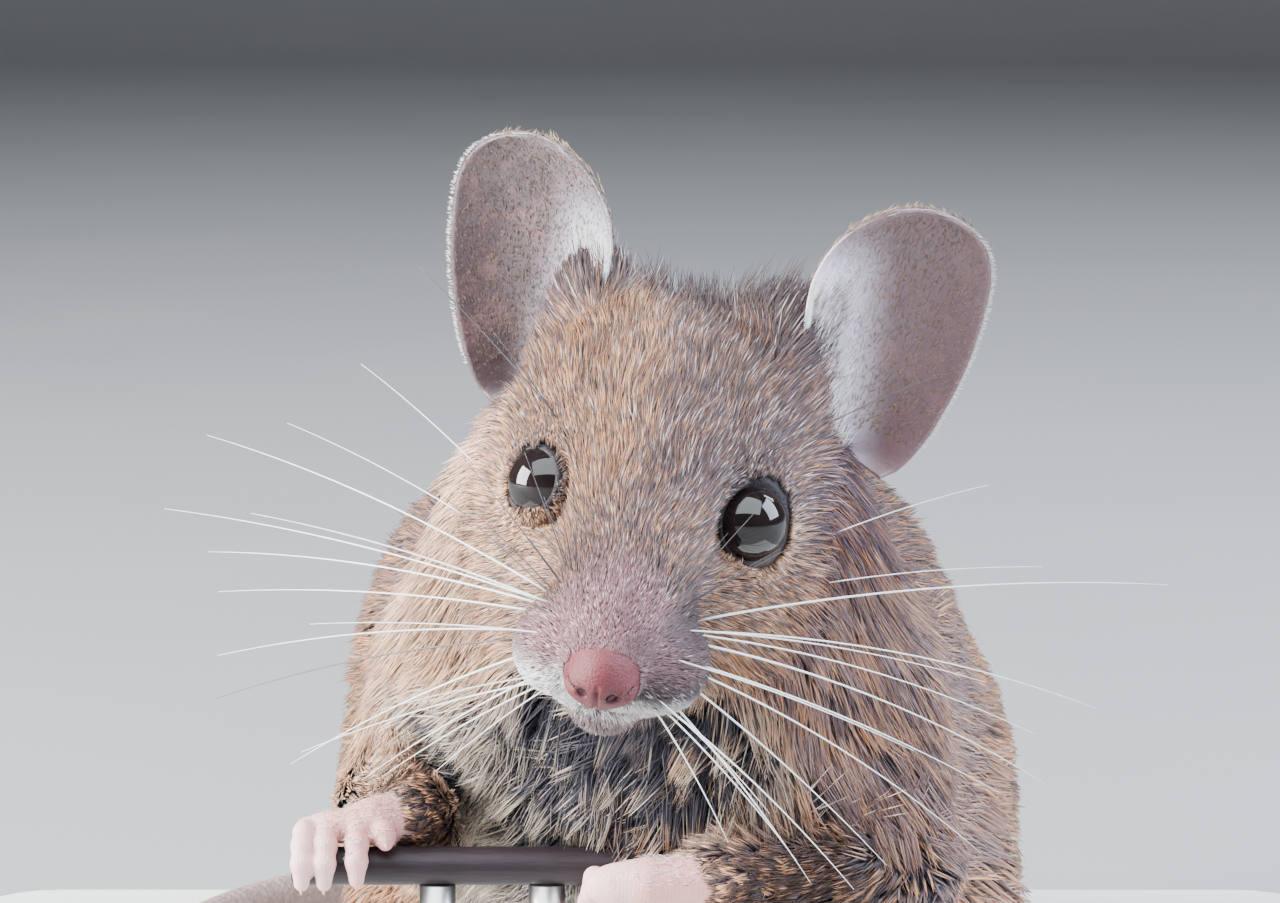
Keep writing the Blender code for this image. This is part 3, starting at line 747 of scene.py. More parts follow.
def makeEar(side):
    rows = ears["rows"]
    columns = ears["columns"]
    share = np.sin(math.pi / 2 * np.linspace(0.0, 1.0, rows)) * 0.9985
    across = np.sin(math.pi / 2 * np.linspace(-1.0, 1.0, columns))
    share, across = np.meshgrid(share, across, indexing="ij")
    middle = earSheet(side, across, share)
    facing = np.cross(np.gradient(middle, axis=1), np.gradient(middle, axis=0))
    facing = unitVectors(facing) * -side
    rim = np.minimum(1.0 - np.abs(across), (1.0 - share) * 2.2)
    thick = ears["thickness"] + (ears["rimThickness"] - ears["thickness"]) * np.exp(-rim / 0.06)
    thick = thick * np.sqrt(np.clip(rim / 0.03, 0.02, 1.0))
    front = middle + facing * thick[..., None]
    back = middle - facing * thick[..., None]
    points = np.concatenate([front.reshape(-1, 3), back.reshape(-1, 3)])
    first = gridTriangles(rows, columns, side > 0)
    second = gridTriangles(rows, columns, side < 0) + rows * columns
    ring = np.concatenate([np.arange(columns), np.arange(1, rows - 1) * columns + columns - 1,
                           rows * columns - 1 - np.arange(columns), np.arange(rows - 2, 0, -1) * columns])
    following = np.roll(ring, -1)
    other = rows * columns
    edge = np.concatenate([np.stack([ring, ring + other, following + other], axis=1),
                           np.stack([ring, following + other, following], axis=1)])
    if side < 0:
        edge = edge[:, ::-1]
    triangles = np.concatenate([first, second, edge])
    return points, triangles


# ---- the forepaws, the hind feet and the tail

perch = {
    "radius": 0.95,
    "y": 0.5,
    "z": 16.1,
    "ends": (-17.6, 1.6),
    "gap": 0.34,
    "bevel": 0.22,          # how long each rounded end is
    "endShare": 0.22,       # of the radius, lost at the end
}

forepaws = {
    "fingerRadius": 0.52,
    "fingerRadii": (0.58, 0.55, 0.49, 0.55, 0.38),
    "fingers": {
        # place on the rod, spread, first and last degrees round it
        "right": ((-16.9, -0.1, 72.0, 196.0), (-15.8, -0.1, 72.0, 196.0), (-14.3, 0.0, 72.0, 190.0),
                  (-13.2, 0.3, 72.0, 130.0)),
        "left": ((-2.6, -0.5, 186.0, 300.0), (-1.5, -0.3, 186.0, 300.0), (-0.4, 0.0, 186.0, 300.0),
                 (0.7, 0.3, 186.0, 300.0)),
    },
    "wristRadii": (1.35, 1.15),
    "palm": {
        # end of the wrist; the palm's centre and radii
        "right": ((-13.6, 1.3, 18.2), (-14.9, 0.9, 18.0), (2.2, 1.0, 0.85)),
        "left": ((0.2, -2.2, 15.9), (-0.9, -2.1, 15.7), (2.2, 1.0, 1.2)),
    },
    "knuckle": (0.58, 0.6, 0.6),
    "blends": {"palm": 0.8, "joint": 0.2, "finger": 0.25},
    "offRod": (0.05, 0.12),         # how far the skin stays off the rod, and how softly
    "voxel": 0.14,
}

hindFeet = {
    "heel": {"right": (-11.4, 44.5), "left": (15.9, 44.5)},
    "turn": {"right": -9.0, "left": 9.0},
    "spine": ((0.6, 1.9), (6.0, 1.5), (11.5, 1.25)),       # along and height
    "radii": (1.35, 1.25, 1.25),
    "strips": (-0.85, 0.85),
    "strip": ((0.6, 7.0, 1.3), (1.0, 12.0, 1.2)),          # share of the way aside, along and height
    "stripRadius": 1.0,
    "toes": ((-1.55, 12.0, 14.6), (-0.8, 12.6, 17.4), (0.0, 12.8, 18.0), (0.8, 12.6, 17.2), (1.6, 10.2, 13.4)),
    "toeRadii": (0.62, 0.54, 0.42),
    "toeHeights": (1.1, 1.05, 0.72),
    "toeSpread": (0.8, 0.07, 1.15),         # at the root, more for each unit of length, and at the tip
    "knuckle": (0.62, 0.72, 0.62),
    "blends": {"spine": 0.8, "strip": 0.6, "joint": 0.2, "toe": 0.25, "knuckle": 0.2, "sole": 0.12},
    "sole": 0.34,
    "voxel": 0.2,
}


def overPerch(x, degrees, clear):
    reach = perch["radius"] + perch["gap"] + clear
    turn = math.radians(degrees)
    return (x, perch["y"] + reach * math.cos(turn), perch["z"] + reach * math.sin(turn))


def fingerJoints(x, spread, first, last):
    return [overPerch(x + spread * share, first + (last - first) * share, forepaws["fingerRadius"])
            for share in np.linspace(0.0, 1.0, 5)]


def fingersOf(side):
    return [fingerJoints(*finger) for finger in forepaws["fingers"][side]]


def forepawField(points, side):
    hand, palm, palmRadii = forepaws["palm"][side]
    widths = forepaws["blends"]
    field = limb(points, legs["foreleg_" + side][0][2], hand, *forepaws["wristRadii"])
    field = blend(field, ellipsoid(points, palm, palmRadii), widths["palm"])
    for joints in fingersOf(side):
        field = blend(field, chain(points, joints, forepaws["fingerRadii"], widths["joint"]), widths["finger"])
        field = blend(field, ellipsoid(points, joints[2], forepaws["knuckle"]), widths["finger"])
    axis = np.stack([points[:, 1] - perch["y"], points[:, 2] - perch["z"]], axis=1)
    gap, softness = forepaws["offRod"]
    clear = perch["radius"] + gap - np.linalg.norm(axis, axis=1)
    return -blend(-field, -clear, softness)


def footPoint(side, across, along, height):
    turn = math.radians(hindFeet["turn"][side])
    x, y = hindFeet["heel"][side]
    return (x + across * math.cos(turn) + along * math.sin(turn),
            y + across * math.sin(turn) - along * math.cos(turn), height)


def toeJoints(side, across, start, end):
    across = -across if side == "left" else across
    rootSpread, growth, tipSpread = hindFeet["toeSpread"]
    spread = 1.0 + growth * (end - start)
    asides = (across * rootSpread, across * spread, across * spread * tipSpread)
    alongs = (start - 1.0, (start + end) / 2, end - 0.5)
    return [footPoint(side, *place) for place in zip(asides, alongs, hindFeet["toeHeights"])]


def footSpine(side):
    return [footPoint(side, 0.0, along, height) for along, height in hindFeet["spine"]]


def footStrip(side, across):
    return [footPoint(side, across * share, along, height) for share, along, height in hindFeet["strip"]]


def hindFootField(points, side):
    widths = hindFeet["blends"]
    radius = hindFeet["stripRadius"]
    field = chain(points, footSpine(side), hindFeet["radii"], widths["spine"])
    for across in hindFeet["strips"]:
        field = blend(field, limb(points, *footStrip(side, across), radius, radius), widths["strip"])
    for toe in hindFeet["toes"]:
        joints = toeJoints(side, *toe)
        field = blend(field, chain(points, joints, hindFeet["toeRadii"], widths["joint"]), widths["toe"])
        field = blend(field, ellipsoid(points, joints[1], hindFeet["knuckle"]), widths["knuckle"])
    return -blend(-field, points[:, 2] - hindFeet["sole"], widths["sole"])


def forepawBalls(side):
    hand, palm, palmRadii = forepaws["palm"][side]
    balls = ballsAlong([legs["foreleg_" + side][0][2], hand], forepaws["wristRadii"]) + [(palm, palmRadii, upright)]
    for joints in fingersOf(side):
        balls += ballsAlong(joints, forepaws["fingerRadii"], 0.3)
    return balls


def hindFootBalls(side):
    balls = ballsAlong(footSpine(side), hindFeet["radii"])
    for across in hindFeet["strips"]:
        balls += ballsAlong(footStrip(side, across), [hindFeet["stripRadius"]] * 2)
    for toe in hindFeet["toes"]:
        balls += ballsAlong(toeJoints(side, *toe), hindFeet["toeRadii"])
    return balls


def makePaw(side, hind):
    paw = hindFeet if hind else forepaws
    balls = hindFootBalls(side) if hind else forepawBalls(side)
    field = hindFootField if hind else forepawField
    mesh = roughForm(balls, paw["voxel"])
    settleMesh(mesh, lambda places: field(places, side), 4, 0.3)
    relax(mesh, 1)
    settleMesh(mesh, lambda places: field(places, side), 2, 0.3)
    return mesh


tail = {
    "route": ((3.2, 57.0, 6.9), (1.2, 60.9, 3.8), (-5.5, 61.3, 2.2), (-15.0, 59.2, 1.9), (-23.5, 53.0, 1.8),
              (-28.5, 43.0, 1.7), (-30.4, 31.0, 1.5), (-30.0, 18.0, 1.3), (-26.6, 6.0, 1.1), (-20.0, -4.0, 0.9)),
    "length": 82.6,
    "radii": (1.75, 0.42),
    "rings": 420,
    "sides": 20,
    "rest": 0.34,           # how far the skin stays off the base
    "taper": 0.8,
    "freeShare": 0.05,      # of its length, by the rump
    "scaleRings": (0.035, 1.5),     # height of the rings, and rings to a scale
    "tipRings": 6.0,
}


def smoothRoute(points, count, length):
    points = np.array(points, float)
    padded = np.vstack([2 * points[0] - points[1], points, 2 * points[-1] - points[-2]])
    dense = []
    for i in range(len(points) - 1):
        before, start, end, after = padded[i:i + 4]
        for t in np.linspace(0.0, 1.0, 40, endpoint=False):
            curved = 2 * before - 5 * start + 4 * end - after
            sharper = 3 * start - before - 3 * end + after
            dense.append(0.5 * (2 * start + (end - before) * t + curved * t ** 2 + sharper * t ** 3))
    dense = np.array(dense + [points[-1]])
    run = np.concatenate([[0.0], np.cumsum(np.linalg.norm(np.diff(dense, axis=0), axis=1))])
    steps = np.linspace(0.0, min(run[-1], length), count)
    return np.stack([np.interp(steps, run, dense[:, k]) for k in range(3)], axis=1)


def tubePoints(centres, radii, sides, first=(0.0, 0.0, 1.0)):
    # rings round a route, closed to a point at each end
    ways = unitVectors(np.gradient(centres, axis=0))
    side = unitVectors(np.cross(ways, np.array(first)))
    rise = np.cross(side, ways)
    turns = np.arange(sides) * 2 * math.pi / sides
    ring = side[:, None] * np.cos(turns)[None, :, None] + rise[:, None] * np.sin(turns)[None, :, None]
    return centres[:, None] + ring * np.broadcast_to(radii, (len(centres),))[:, None, None]


def tubeTriangles(rings, sides):
    start = np.arange(rings - 1)[:, None] * sides + np.arange(sides)[None, :]
    nextOne = np.arange(rings - 1)[:, None] * sides + (np.arange(sides)[None, :] + 1) % sides
    a, b = start.ravel(), nextOne.ravel()
    triangles = np.concatenate([np.stack([a, a + sides, b + sides], axis=1), np.stack([a, b + sides, b], axis=1)])
    head = rings * sides
    ring = np.arange(sides)
    following = (ring + 1) % sides
    last = (rings - 1) * sides
    caps = np.concatenate([np.stack([np.full(sides, head), ring, following], axis=1),
                           np.stack([np.full(sides, head + 1), last + following, last + ring], axis=1)])
    return np.concatenate([triangles, caps])


def makeTube(centres, radii, sides, first=(0.0, 0.0, 1.0)):
    rings = tubePoints(centres, radii, sides, first).reshape(-1, 3)
    points = np.concatenate([rings, centres[:1], centres[-1:]])
    return points, tubeTriangles(len(centres), sides)


def tailRoute(count):
    route = smoothRoute(tail["route"], count, tail["length"])
    shares = np.linspace(0.0, 1.0, count)
    thick, thin = tail["radii"]
    radii = thick + (thin - thick) * shares ** tail["taper"]
    lifted = np.maximum(route[:, 2], tail["rest"] + radii)
    route[:, 2] = np.where(shares > tail["freeShare"], lifted, route[:, 2])
    return route, radii


def makeTail():
    route, radii = tailRoute(tail["rings"])
    height, spacing = tail["scaleRings"]
    scales = 1.0 + height * np.sign(np.sin(np.arange(tail["rings"]) * math.pi / spacing))
    closing = np.sqrt(np.clip(np.linspace(len(radii), 0.0, len(radii)) / tail["tipRings"], 0.02, 1.0))
    return makeTube(route, radii * scales * closing, tail["sides"])


# ---- eyes, claws and whiskers

def makeEyeball(side):
    sides = eyes["sides"]
    rows = eyes["rows"]
    facing = unitVectors(np.array(eyes["facing"]) * np.array([1.0, side, 1.0])) @ headAxes.T
    aside = unitVectors(np.cross(facing, (0.0, 0.0, 1.0)))
    above = np.cross(aside, facing)
    centre = fromHead(np.array(eyes["place"]) * np.array([1.0, side, 1.0]))
    angles = np.linspace(0.02, math.pi - 0.02, rows)
    height, reach = eyes["cornea"]
    radius = eyes["radius"] + height * np.exp(-(angles / reach) ** 2)
    turns = np.arange(sides) * 2 * math.pi / sides
    ring = aside[None] * np.cos(turns)[:, None] + above[None] * np.sin(turns)[:, None]
    points = centre + radius[:, None, None] * (facing * np.cos(angles)[:, None, None]
                                               + ring[None] * np.sin(angles)[:, None, None])
    poles = np.stack([centre + facing * radius[0], centre - facing * radius[-1]])
    return np.concatenate([points.reshape(-1, 3), poles]), tubeTriangles(rows, sides)


claws = {
    "length": 0.6,
    "radius": 0.13,
    "tipRadius": 0.012,
    "taper": 1.6,
    "curl": 0.5,
    "offFinger": (0.12, 0.35, 0.5),        # how far outside the finger's middle, and its way out and in again
    "offToe": (0.1, 0.3, 0.6),             # above the toe's middle, share of its slope, and its way down
    "steps": 8,
    "sides": 8,
}


def clawTube(start, way, down):
    shares = np.linspace(0.0, 1.0, claws["steps"])
    way = unitVectors(np.array(way))
    route = start + claws["length"] * (way * shares[:, None] + np.array(down) * claws["curl"] * shares[:, None] ** 2)
    radii = claws["radius"] * (1.0 - shares ** claws["taper"]) + claws["tipRadius"]
    return makeTube(route, radii, claws["sides"], (1.0, 0.2, 0.3))


def joinTubes(tubes):
    points = np.concatenate([tube[0] for tube in tubes])
    offsets = np.cumsum([0] + [len(tube[0]) for tube in tubes[:-1]])
    return points, np.concatenate([tube[1] + offset for tube, offset in zip(tubes, offsets)])


def makeClaws():
    tubes = []
    off, out, curl = claws["offFinger"]
    above, slope, fall = claws["offToe"]
    for side in ("right", "left"):
        for joints in fingersOf(side):
            tip = np.array(joints[-1])
            way = unitVectors(tip - np.array(joints[-2]))
            middle = np.array([tip[0], perch["y"], perch["z"]])
            outwards = unitVectors(tip - middle)
            tubes.append(clawTube(tip + outwards * off, way + outwards * out, -outwards * curl))
        for toe in hindFeet["toes"]:
            knuckle, tip = (np.array(joint) for joint in toeJoints(side, *toe)[-2:])
            tubes.append(clawTube(tip + (0.0, 0.0, above), (tip - knuckle) * (1, 1, slope), (0.0, 0.0, -fall)))
    return joinTubes(tubes)


whiskers = {
    # rise in degrees over the head's level, column from the nose back, length
    "plan": ((6, 5, 25.5), (4, 3, 15.0), (-5, 5, 25.5), (-7, 4, 20.0), (-8, 2, 12.0), (-16, 5, 22.0), (-17, 3, 16.5),
             (-18, 1, 8.0), (-26, 4, 18.5), (-27, 2, 12.0), (-35, 4, 15.0), (-37, 2, 9.5), (-44, 3, 11.0),
             (-45, 1, 6.5)),
    "sweep": (24.0, 10.0, -4.0, -14.0, -24.0, -32.0),    # degrees, forwards from straight out, by column
    "sag": 0.15,
    "rootRadius": (0.035, 0.04, 0.048, 0.055, 0.06, 0.06),
    "leftBolder": 1.05,
    "tipRadius": 0.012,
    "steps": 14,
    "sides": 6,
    "padFront": (11.0, 1.55, -3.4),
    "padStep": (-0.9, 0.36, 0.12),
    "padDrop": (0.01, 0.012, -0.056),    # for each degree below the first row
    "rooted": -0.35,        # how deep under the body's surface
    "hang": (-0.35, 0.0, -1.0),
    "jitter": {"rise": 2.5, "sweep": 4.0, "radius": (0.8, 1.1), "sag": (0.7, 1.4), "length": (0.9, 1.08)},
    "darkShare": 0.08,
}

browHairs = {
    # forward, left, up of the root; then rise, sweep and length
    "darkFine": (((8.6, 1.7, -0.9), 78.0, -12.0, 3.6), ((7.8, 2.2, -1.2), 62.0, -16.0, 4.4),
                 ((7.6, 2.6, -1.9), 44.0, -10.0, 6.0), ((6.9, 2.9, -2.0), 34.0, -26.0, 8.0),
                 ((7.2, 2.9, -2.6), 28.0, -22.0, 7.0), ((8.2, 2.0, -1.1), 70.0, -24.0, 5.2),
                 ((6.6, 3.2, -3.0), 18.0, -32.0, 8.5), ((7.0, 2.4, -1.4), 54.0, -32.0, 6.5)),
    "brow": (((-1.2, 4.6, 2.9), 34.0, -20.0, 10.5), ((-0.4, 4.4, 3.0), 50.0, 5.0, 6.0)),
    "cheek": (((-3.5, 7.4, -4.4), 6.0, -30.0, 12.0), ((-4.6, 7.2, -2.6), 18.0, -34.0, 9.0)),
    "radiusAndSag": {"darkFine": (0.035, 0.05), "brow": (0.042, 0.08), "cheek": (0.035, 0.1)},
}


def whiskerTube(side, root, rise, sweep, length, rootRadius, sag):
    rise = math.radians(rise)
    sweep = math.radians(sweep)
    out = np.array([math.sin(sweep) * math.cos(rise), side * math.cos(sweep) * math.cos(rise), math.sin(rise)])
    shares = np.linspace(0.0, 1.0, whiskers["steps"])[:, None]
    start = fromHead(np.array(root) * (1.0, side, 1.0))
    start = settle(start[None], bodyField, whiskers["rooted"], 4, 0.6)[0]
    bend = (out * shares + np.array(whiskers["hang"]) * sag * shares ** 2) * length
    route = start + bend @ headAxes.T
    radii = rootRadius + (whiskers["tipRadius"] - rootRadius) * shares[:, 0] ** 1.3
    return makeTube(route, radii, whiskers["sides"], (0.2, 0.3, 1.0))


def makeWhiskers():
    pale = []
    dark = []
    jitter = whiskers["jitter"]
    for side in (-1, 1):
        bolder = whiskers["leftBolder"] if side > 0 else 1.0
        for rise, column, length in whiskers["plan"]:
            root = np.array(whiskers["padFront"]) + np.array(whiskers["padStep"]) * column
            root = root + np.array(whiskers["padDrop"]) * (whiskers["plan"][0][0] - rise)
            rise = rise + rng.normal(0.0, jitter["rise"])
            sweep = whiskers["sweep"][column] + rng.normal(0.0, jitter["sweep"])
            radius = whiskers["rootRadius"][column] * rng.uniform(*jitter["radius"]) * bolder
            sag = whiskers["sag"] * rng.uniform(*jitter["sag"])
            kept = dark if rng.random() < whiskers["darkShare"] else pale
            kept.append(whiskerTube(side, root, rise, sweep, length * rng.uniform(*jitter["length"]), radius, sag))
        for name, kept in (("darkFine", dark), ("brow", dark), ("cheek", pale)):
            radius, sag = browHairs["radiusAndSag"][name]
            for root, rise, sweep, length in browHairs[name]:
                kept.append(whiskerTube(side, root, rise, sweep, length, radius, sag))
    return joinTubes(pale), joinTubes(dark)


# ---- the coat's markings, shared by skin and tufts, and the painted light and shade laid over the coat

tones = {
    "fawn": (0.62, 0.265, 0.115),
    "grey": (0.155, 0.10, 0.13),
    "glint": (0.90, 0.80, 0.80),
    "dark": (0.022, 0.015, 0.019),
    "cream": (0.95, 0.84, 0.72),
    "buff": (0.74, 0.36, 0.14),
    "peach": (0.95, 0.60, 0.38),
    "straw": (0.90, 0.66, 0.40),
    "rear": (0.20, 0.125, 0.095),
    "umber": (0.075, 0.040, 0.028),
    "white": (0.95, 0.90, 0.88),
    "slate": (0.035, 0.032, 0.044),
    "rosy": (0.42, 0.225, 0.24),
    "warmRoot": (0.12, 0.085, 0.08),
    "nose": (0.145, 0.03, 0.036),
    "tail": (0.36, 0.25, 0.225),
    "lid": (0.012, 0.008, 0.010),
    "mauve": (0.40, 0.29, 0.33),
    "paw": (0.66, 0.33, 0.31),
    "fingertip": (0.80, 0.50, 0.48),
    "earSkin": (0.085, 0.048, 0.055),
    # the pale hollow of the ears: partly paler skin, partly a painted sheen
    "earSheen": (0.62, 0.58, 0.68),
}
for name, tone in tones.items():
    tones[name] = np.array(tone)

shades = {
    # a tone, and the share of it that is kept
    # dark grey for the skin patch by each eye's corner, and painted shade under the chin
    "corner": ("grey", 0.45),
    "crown": ("grey", 0.4),
    "nosePink": ("rosy", (0.95, 0.72, 0.80)),
    # painted shade on the whisker pad of the mouse's left side
    "padShade": ("mauve", 0.28),
    "noseRoot": ("rosy", 0.75),
    "rearRoot": ("rear", 0.3),
    "muzzleRoot": ("white", 0.6),
    "eyeRoot": ("fawn", 0.45),
    "parting": ("slate", 1.6),
    "headSkin": ("warmRoot", 0.8),
    "noseTopSkin": ("rosy", 0.8),
    "muzzleSkin": ("white", 0.5),
    "wristSkin": ("paw", 0.55),
    # painted shade in and round the nostril pits
    "nostril": ("nose", 0.12),
}
for name, (tone, share) in shades.items():
    tones[name] = tones[tone] * share
tones["black"] = np.zeros(3)

marks = {
    # each mark grows along its measures, from nothing at the first number to full at the second
    "lip": (("lipUp", -3.1, -4.6), ("forward", 3.5, 6.5)),
    # under the lip and chin: painted shade, the lip's white fading and the chin darker
    "underLip": (("up", -6.5, -7.3),),
    "chin": (("up", -6.9, -7.6), ("forward", 2.5, 5.5)),
    "crown": (("forward", -4.0, -7.5), ("aside", 7.5, 5.0)),
    # below the eyes: paler tips, painted light over the shaded hollow between the lids and the coat
    "eyeRim": (("fromEye", 3.1, 2.4), ("up", 0.6, -0.6)),
    "noseTop": (("forward", 7.6, 11.0),),
    "cheek": (("up", -0.6, -3.6), ("forward", 7.0, 3.0)),
    # on the mouse's right side of the face, where the light falls: golden fur with painted light on it
    "gold": (("left", 1.0, -2.2), ("forward", 7.5, 5.0), ("forward", -6.5, -3.5)),
    # on the mouse's left side of the face, away from the light: painted shade
    "dusk": (("left", -1.5, 2.0), ("left", 6.5, 5.0), ("forward", 6.5, 3.5), ("up", -2.0, 0.0)),
    # on the whisker pad of the mouse's left side: painted shade
    "padShade": (("left", 0.3, 1.2), ("forward", 4.5, 6.5), ("up", -5.6, -4.6), ("up", -0.9, -2.0)),
    "middle": (("aside", 4.2, 1.6), ("forward", -6.0, 3.0)),
    # the outer edge of the mouse's right arm, where the light falls: kept free of the dark forearm colour, painted
    # light
    "innerArm": (("x", -12.2, -13.8),),
    "front": (("y", 17.0, 11.0),),
    "chest": (("fromChest", 9.5, 6.5), ("chestUp", 27.0, 23.5)),
    "tanChest": (("x", -3.0, 3.0),),
    "belly": (("z", 9.0, 3.5),),
    "side": (("z", 30.0, 22.0),),
    "frontSide": (("z", 34.0, 28.0),),
    "behind": (("y", 24.0, 44.0),),
    # the front of the mouse's right side, where the light falls: paler peach tips and fewer dark partings, painted
    # light
    "rightFront": (("x", -2.0, -8.0),),
    # the front of the mouse's left flank: greyer mauve tips, partly the fur's own tone, partly painted cool light
    # from that side
    "leftSide": (("x", 2.0, 8.0), ("y", 34.0, 20.0)),
    "back": (("z", 20.0, 31.0),),
    "rear": (("y", 12.0, 28.0),),
}

spots = {
    "eyeCorner": ((0.9, 3.6, 2.1), 0.6),        # middle, and its reach squared
    "brow": ((-2.5, 3.0), (3.2, 1.7)),          # middle and reach, forward and aside
    "chestMiddle": -2.4,
    "throat": (-1.2, 4.0, 4.0),         # place across, reach, and how much higher the chest's tones run there
    "lipSlant": 0.12,
}

tinting = {
    # what each mark adds
    "golden": {"all": 0.38, "middle": 0.1, "brow": 0.3, "side": 0.15, "cheek": 0.35, "gold": 0.2, "dusk": -0.12,
               "back": -0.15},
    "start": {"all": 0.26, "head": 0.16, "eyeRim": -0.3, "chest": 0.28, "furSide": 0.08, "muzzle": -0.2},
    "spread": {"all": 1.1, "face": 0.9, "chest": -0.3, "rear": -0.45},
    "level": {"all": 0.5, "head": 0.08},
    "lift": {"chest": 0.14},
    "brightest": 0.95,
}


def lerp(first, second, share):
    return first + (second - first) * share[:, None]


def overlay(tint, layers):
    for name, share in layers:
        tint = lerp(tint, tones[name], share)
    return tint


def plainTint(name, count):
    return np.tile(tones[name], (count, 1))


def grow(share, measures, name):
    # a mark's mask, out of the share that it lies in
    for measure, absent, full in marks[name]:
        share = share * smoothStep(measures[measure], absent, full)
    return share


def umberArm(points, shares, measures):
    # dark umber forearms: partly the fur's own colour, partly painted shade under the head, reaching further up the
    # mouse's left arm, and kept off the lit outer edge of the right arm
    arm = np.zeros(len(points))
    for name in coat["umberReach"]:
        arm = np.maximum(arm, shares[name] * smoothStep(fromEnd(points, name), *coat["umberReach"][name]))
    return arm * (1.0 - 0.8 * grow(1.0, measures, "innerArm"))


def coatZones(points, shares):
    # soft masks of the markings and of the painted light and shade, 0 to 1
    local = toHead(points)
    folded = bothSides(local)
    forward, left, up = local.T
    x, y, z = points.T
    aside = np.abs(left)
    across, reach, rise = spots["throat"]
    measures = {
        "forward": forward, "left": left, "up": up, "aside": aside, "x": x, "y": y, "z": z,
        "lipUp": up + spots["lipSlant"] * aside,
        "fromEye": fromEye(folded),
        "fromChest": np.abs(x - spots["chestMiddle"]),
        "chestUp": z - rise * np.exp(-((x - across) / reach) ** 2),
    }
    head = shares["head"]
    zones = {"all": np.ones(len(points)), "head": head}
    # the lip's white fades under the chin: painted shade
    zones["muzzle"] = grow(head, measures, "lip") * (1.0 - 0.75 * grow(1.0, measures, "underLip"))
    for name in ("chin", "crown", "eyeRim", "noseTop", "cheek", "gold", "dusk", "padShade", "middle"):
        zones[name] = grow(head, measures, name)
    zones["noseTop"] = zones["noseTop"] * (1.0 - zones["muzzle"])
    zones["face"] = head * (1.0 - zones["muzzle"])
    middle, reach = spots["eyeCorner"]
    zones["eyeCorner"] = head * np.exp(-((folded - middle) ** 2).sum(axis=1) / reach)
    middle, reach = spots["brow"]
    zones["brow"] = head * np.exp(-(((np.stack([forward, aside], axis=1) - middle) / reach) ** 2).sum(axis=1))
    body = 1.0 - head
    arm = umberArm(points, shares, measures)
    front = grow(body * (1.0 - arm), measures, "front")
    chest = grow(front, measures, "chest")
    zones.update({"arm": arm, "chest": chest, "tanChest": grow(chest, measures, "tanChest")})
    for name in ("belly", "back", "rear"):
        zones[name] = grow(body, measures, name)
    side = grow(body, measures, "side") * (1.0 - zones["belly"]) * (1.0 - chest)
    side = np.maximum(side, grow(front * (1.0 - chest), measures, "frontSide"))
    zones["side"] = side * (1.0 - 0.6 * grow(1.0, measures, "behind"))
    zones["furSide"] = zones["side"] * (1.0 - arm)
    zones["leftSide"] = grow(zones["side"], measures, "leftSide")
    zones["rightFront"] = grow(front * (1.0 - chest), measures, "rightFront")
    return zones


def weigh(zones, name):
    total = 0.0
    for mark, weight in tinting[name].items():
        total = total + weight * zones[mark]
    return total


def tipLayers(zones, lot, other):
    # the tones laid over each other at the tufts' tips, and how thickly
    warm = np.maximum(zones["side"], zones["cheek"])
    # gold and peach on the mouse's right side are painted light, and so is the peach below the eyes
    gilded = np.maximum(warm * 0.6, zones["gold"] * 0.75)
    pale = np.maximum(warm * smoothStep(lot, 0.55, 0.75) * 0.7, zones["rightFront"] * 0.85)
    pale = np.maximum(pale, np.maximum(zones["gold"] * zones["cheek"], zones["eyeRim"]) * 0.6)
    guard = (lot > 0.80 - 0.1 * zones["head"]) & (other < 0.85)
    return (
        ("buff", gilded * smoothStep(other, 0.35, 0.8)),
        ("peach", pale),
        # partly painted cool light on the mouse's left flank
        ("mauve", zones["leftSide"] * smoothStep(other, 0.95, 0.35) * 0.75),
        ("cream", zones["chest"] * smoothStep(other, 0.0, 0.3)),
        ("straw", zones["chest"] * smoothStep(lot, 0.2, 0.6) * 0.8),
        ("buff", zones["tanChest"] * smoothStep(lot, 0.25, 0.6) * 0.75),
        # partly painted shade under the head
        ("umber", zones["arm"] * (0.9 - 0.5 * (other > 0.7))),
        # painted shade under the chin, and the dark patch by each eye's corner
        ("corner", np.maximum(zones["chin"], zones["eyeCorner"]) * 0.85),
        ("crown", zones["crown"] * 0.95),
        # painted shade on the mouse's left side of the face; the whole head a little darker too
        ("black", zones["head"] * 0.05 + zones["dusk"] * 0.3),
        ("glint", zones["head"] * (lot < 0.1) * 0.7),
        ("cream", zones["belly"] * 0.8),
        ("white", zones["muzzle"] * 0.95),
        ("nosePink", zones["noseTop"] * 0.85),
        ("white", zones["noseTop"] * (lot < 0.14) * 0.7),
        ("grey", zones["noseTop"] * (lot > 0.62) * 0.75),
        # painted shade on the left whisker pad
        ("padShade", zones["padShade"] * (1.0 - 0.7 * (other > 0.8))),
        ("dark", guard * (1.0 - 0.9 * zones["muzzle"]) * (1.0 - 0.4 * zones["chest"]) * 0.85),
    )


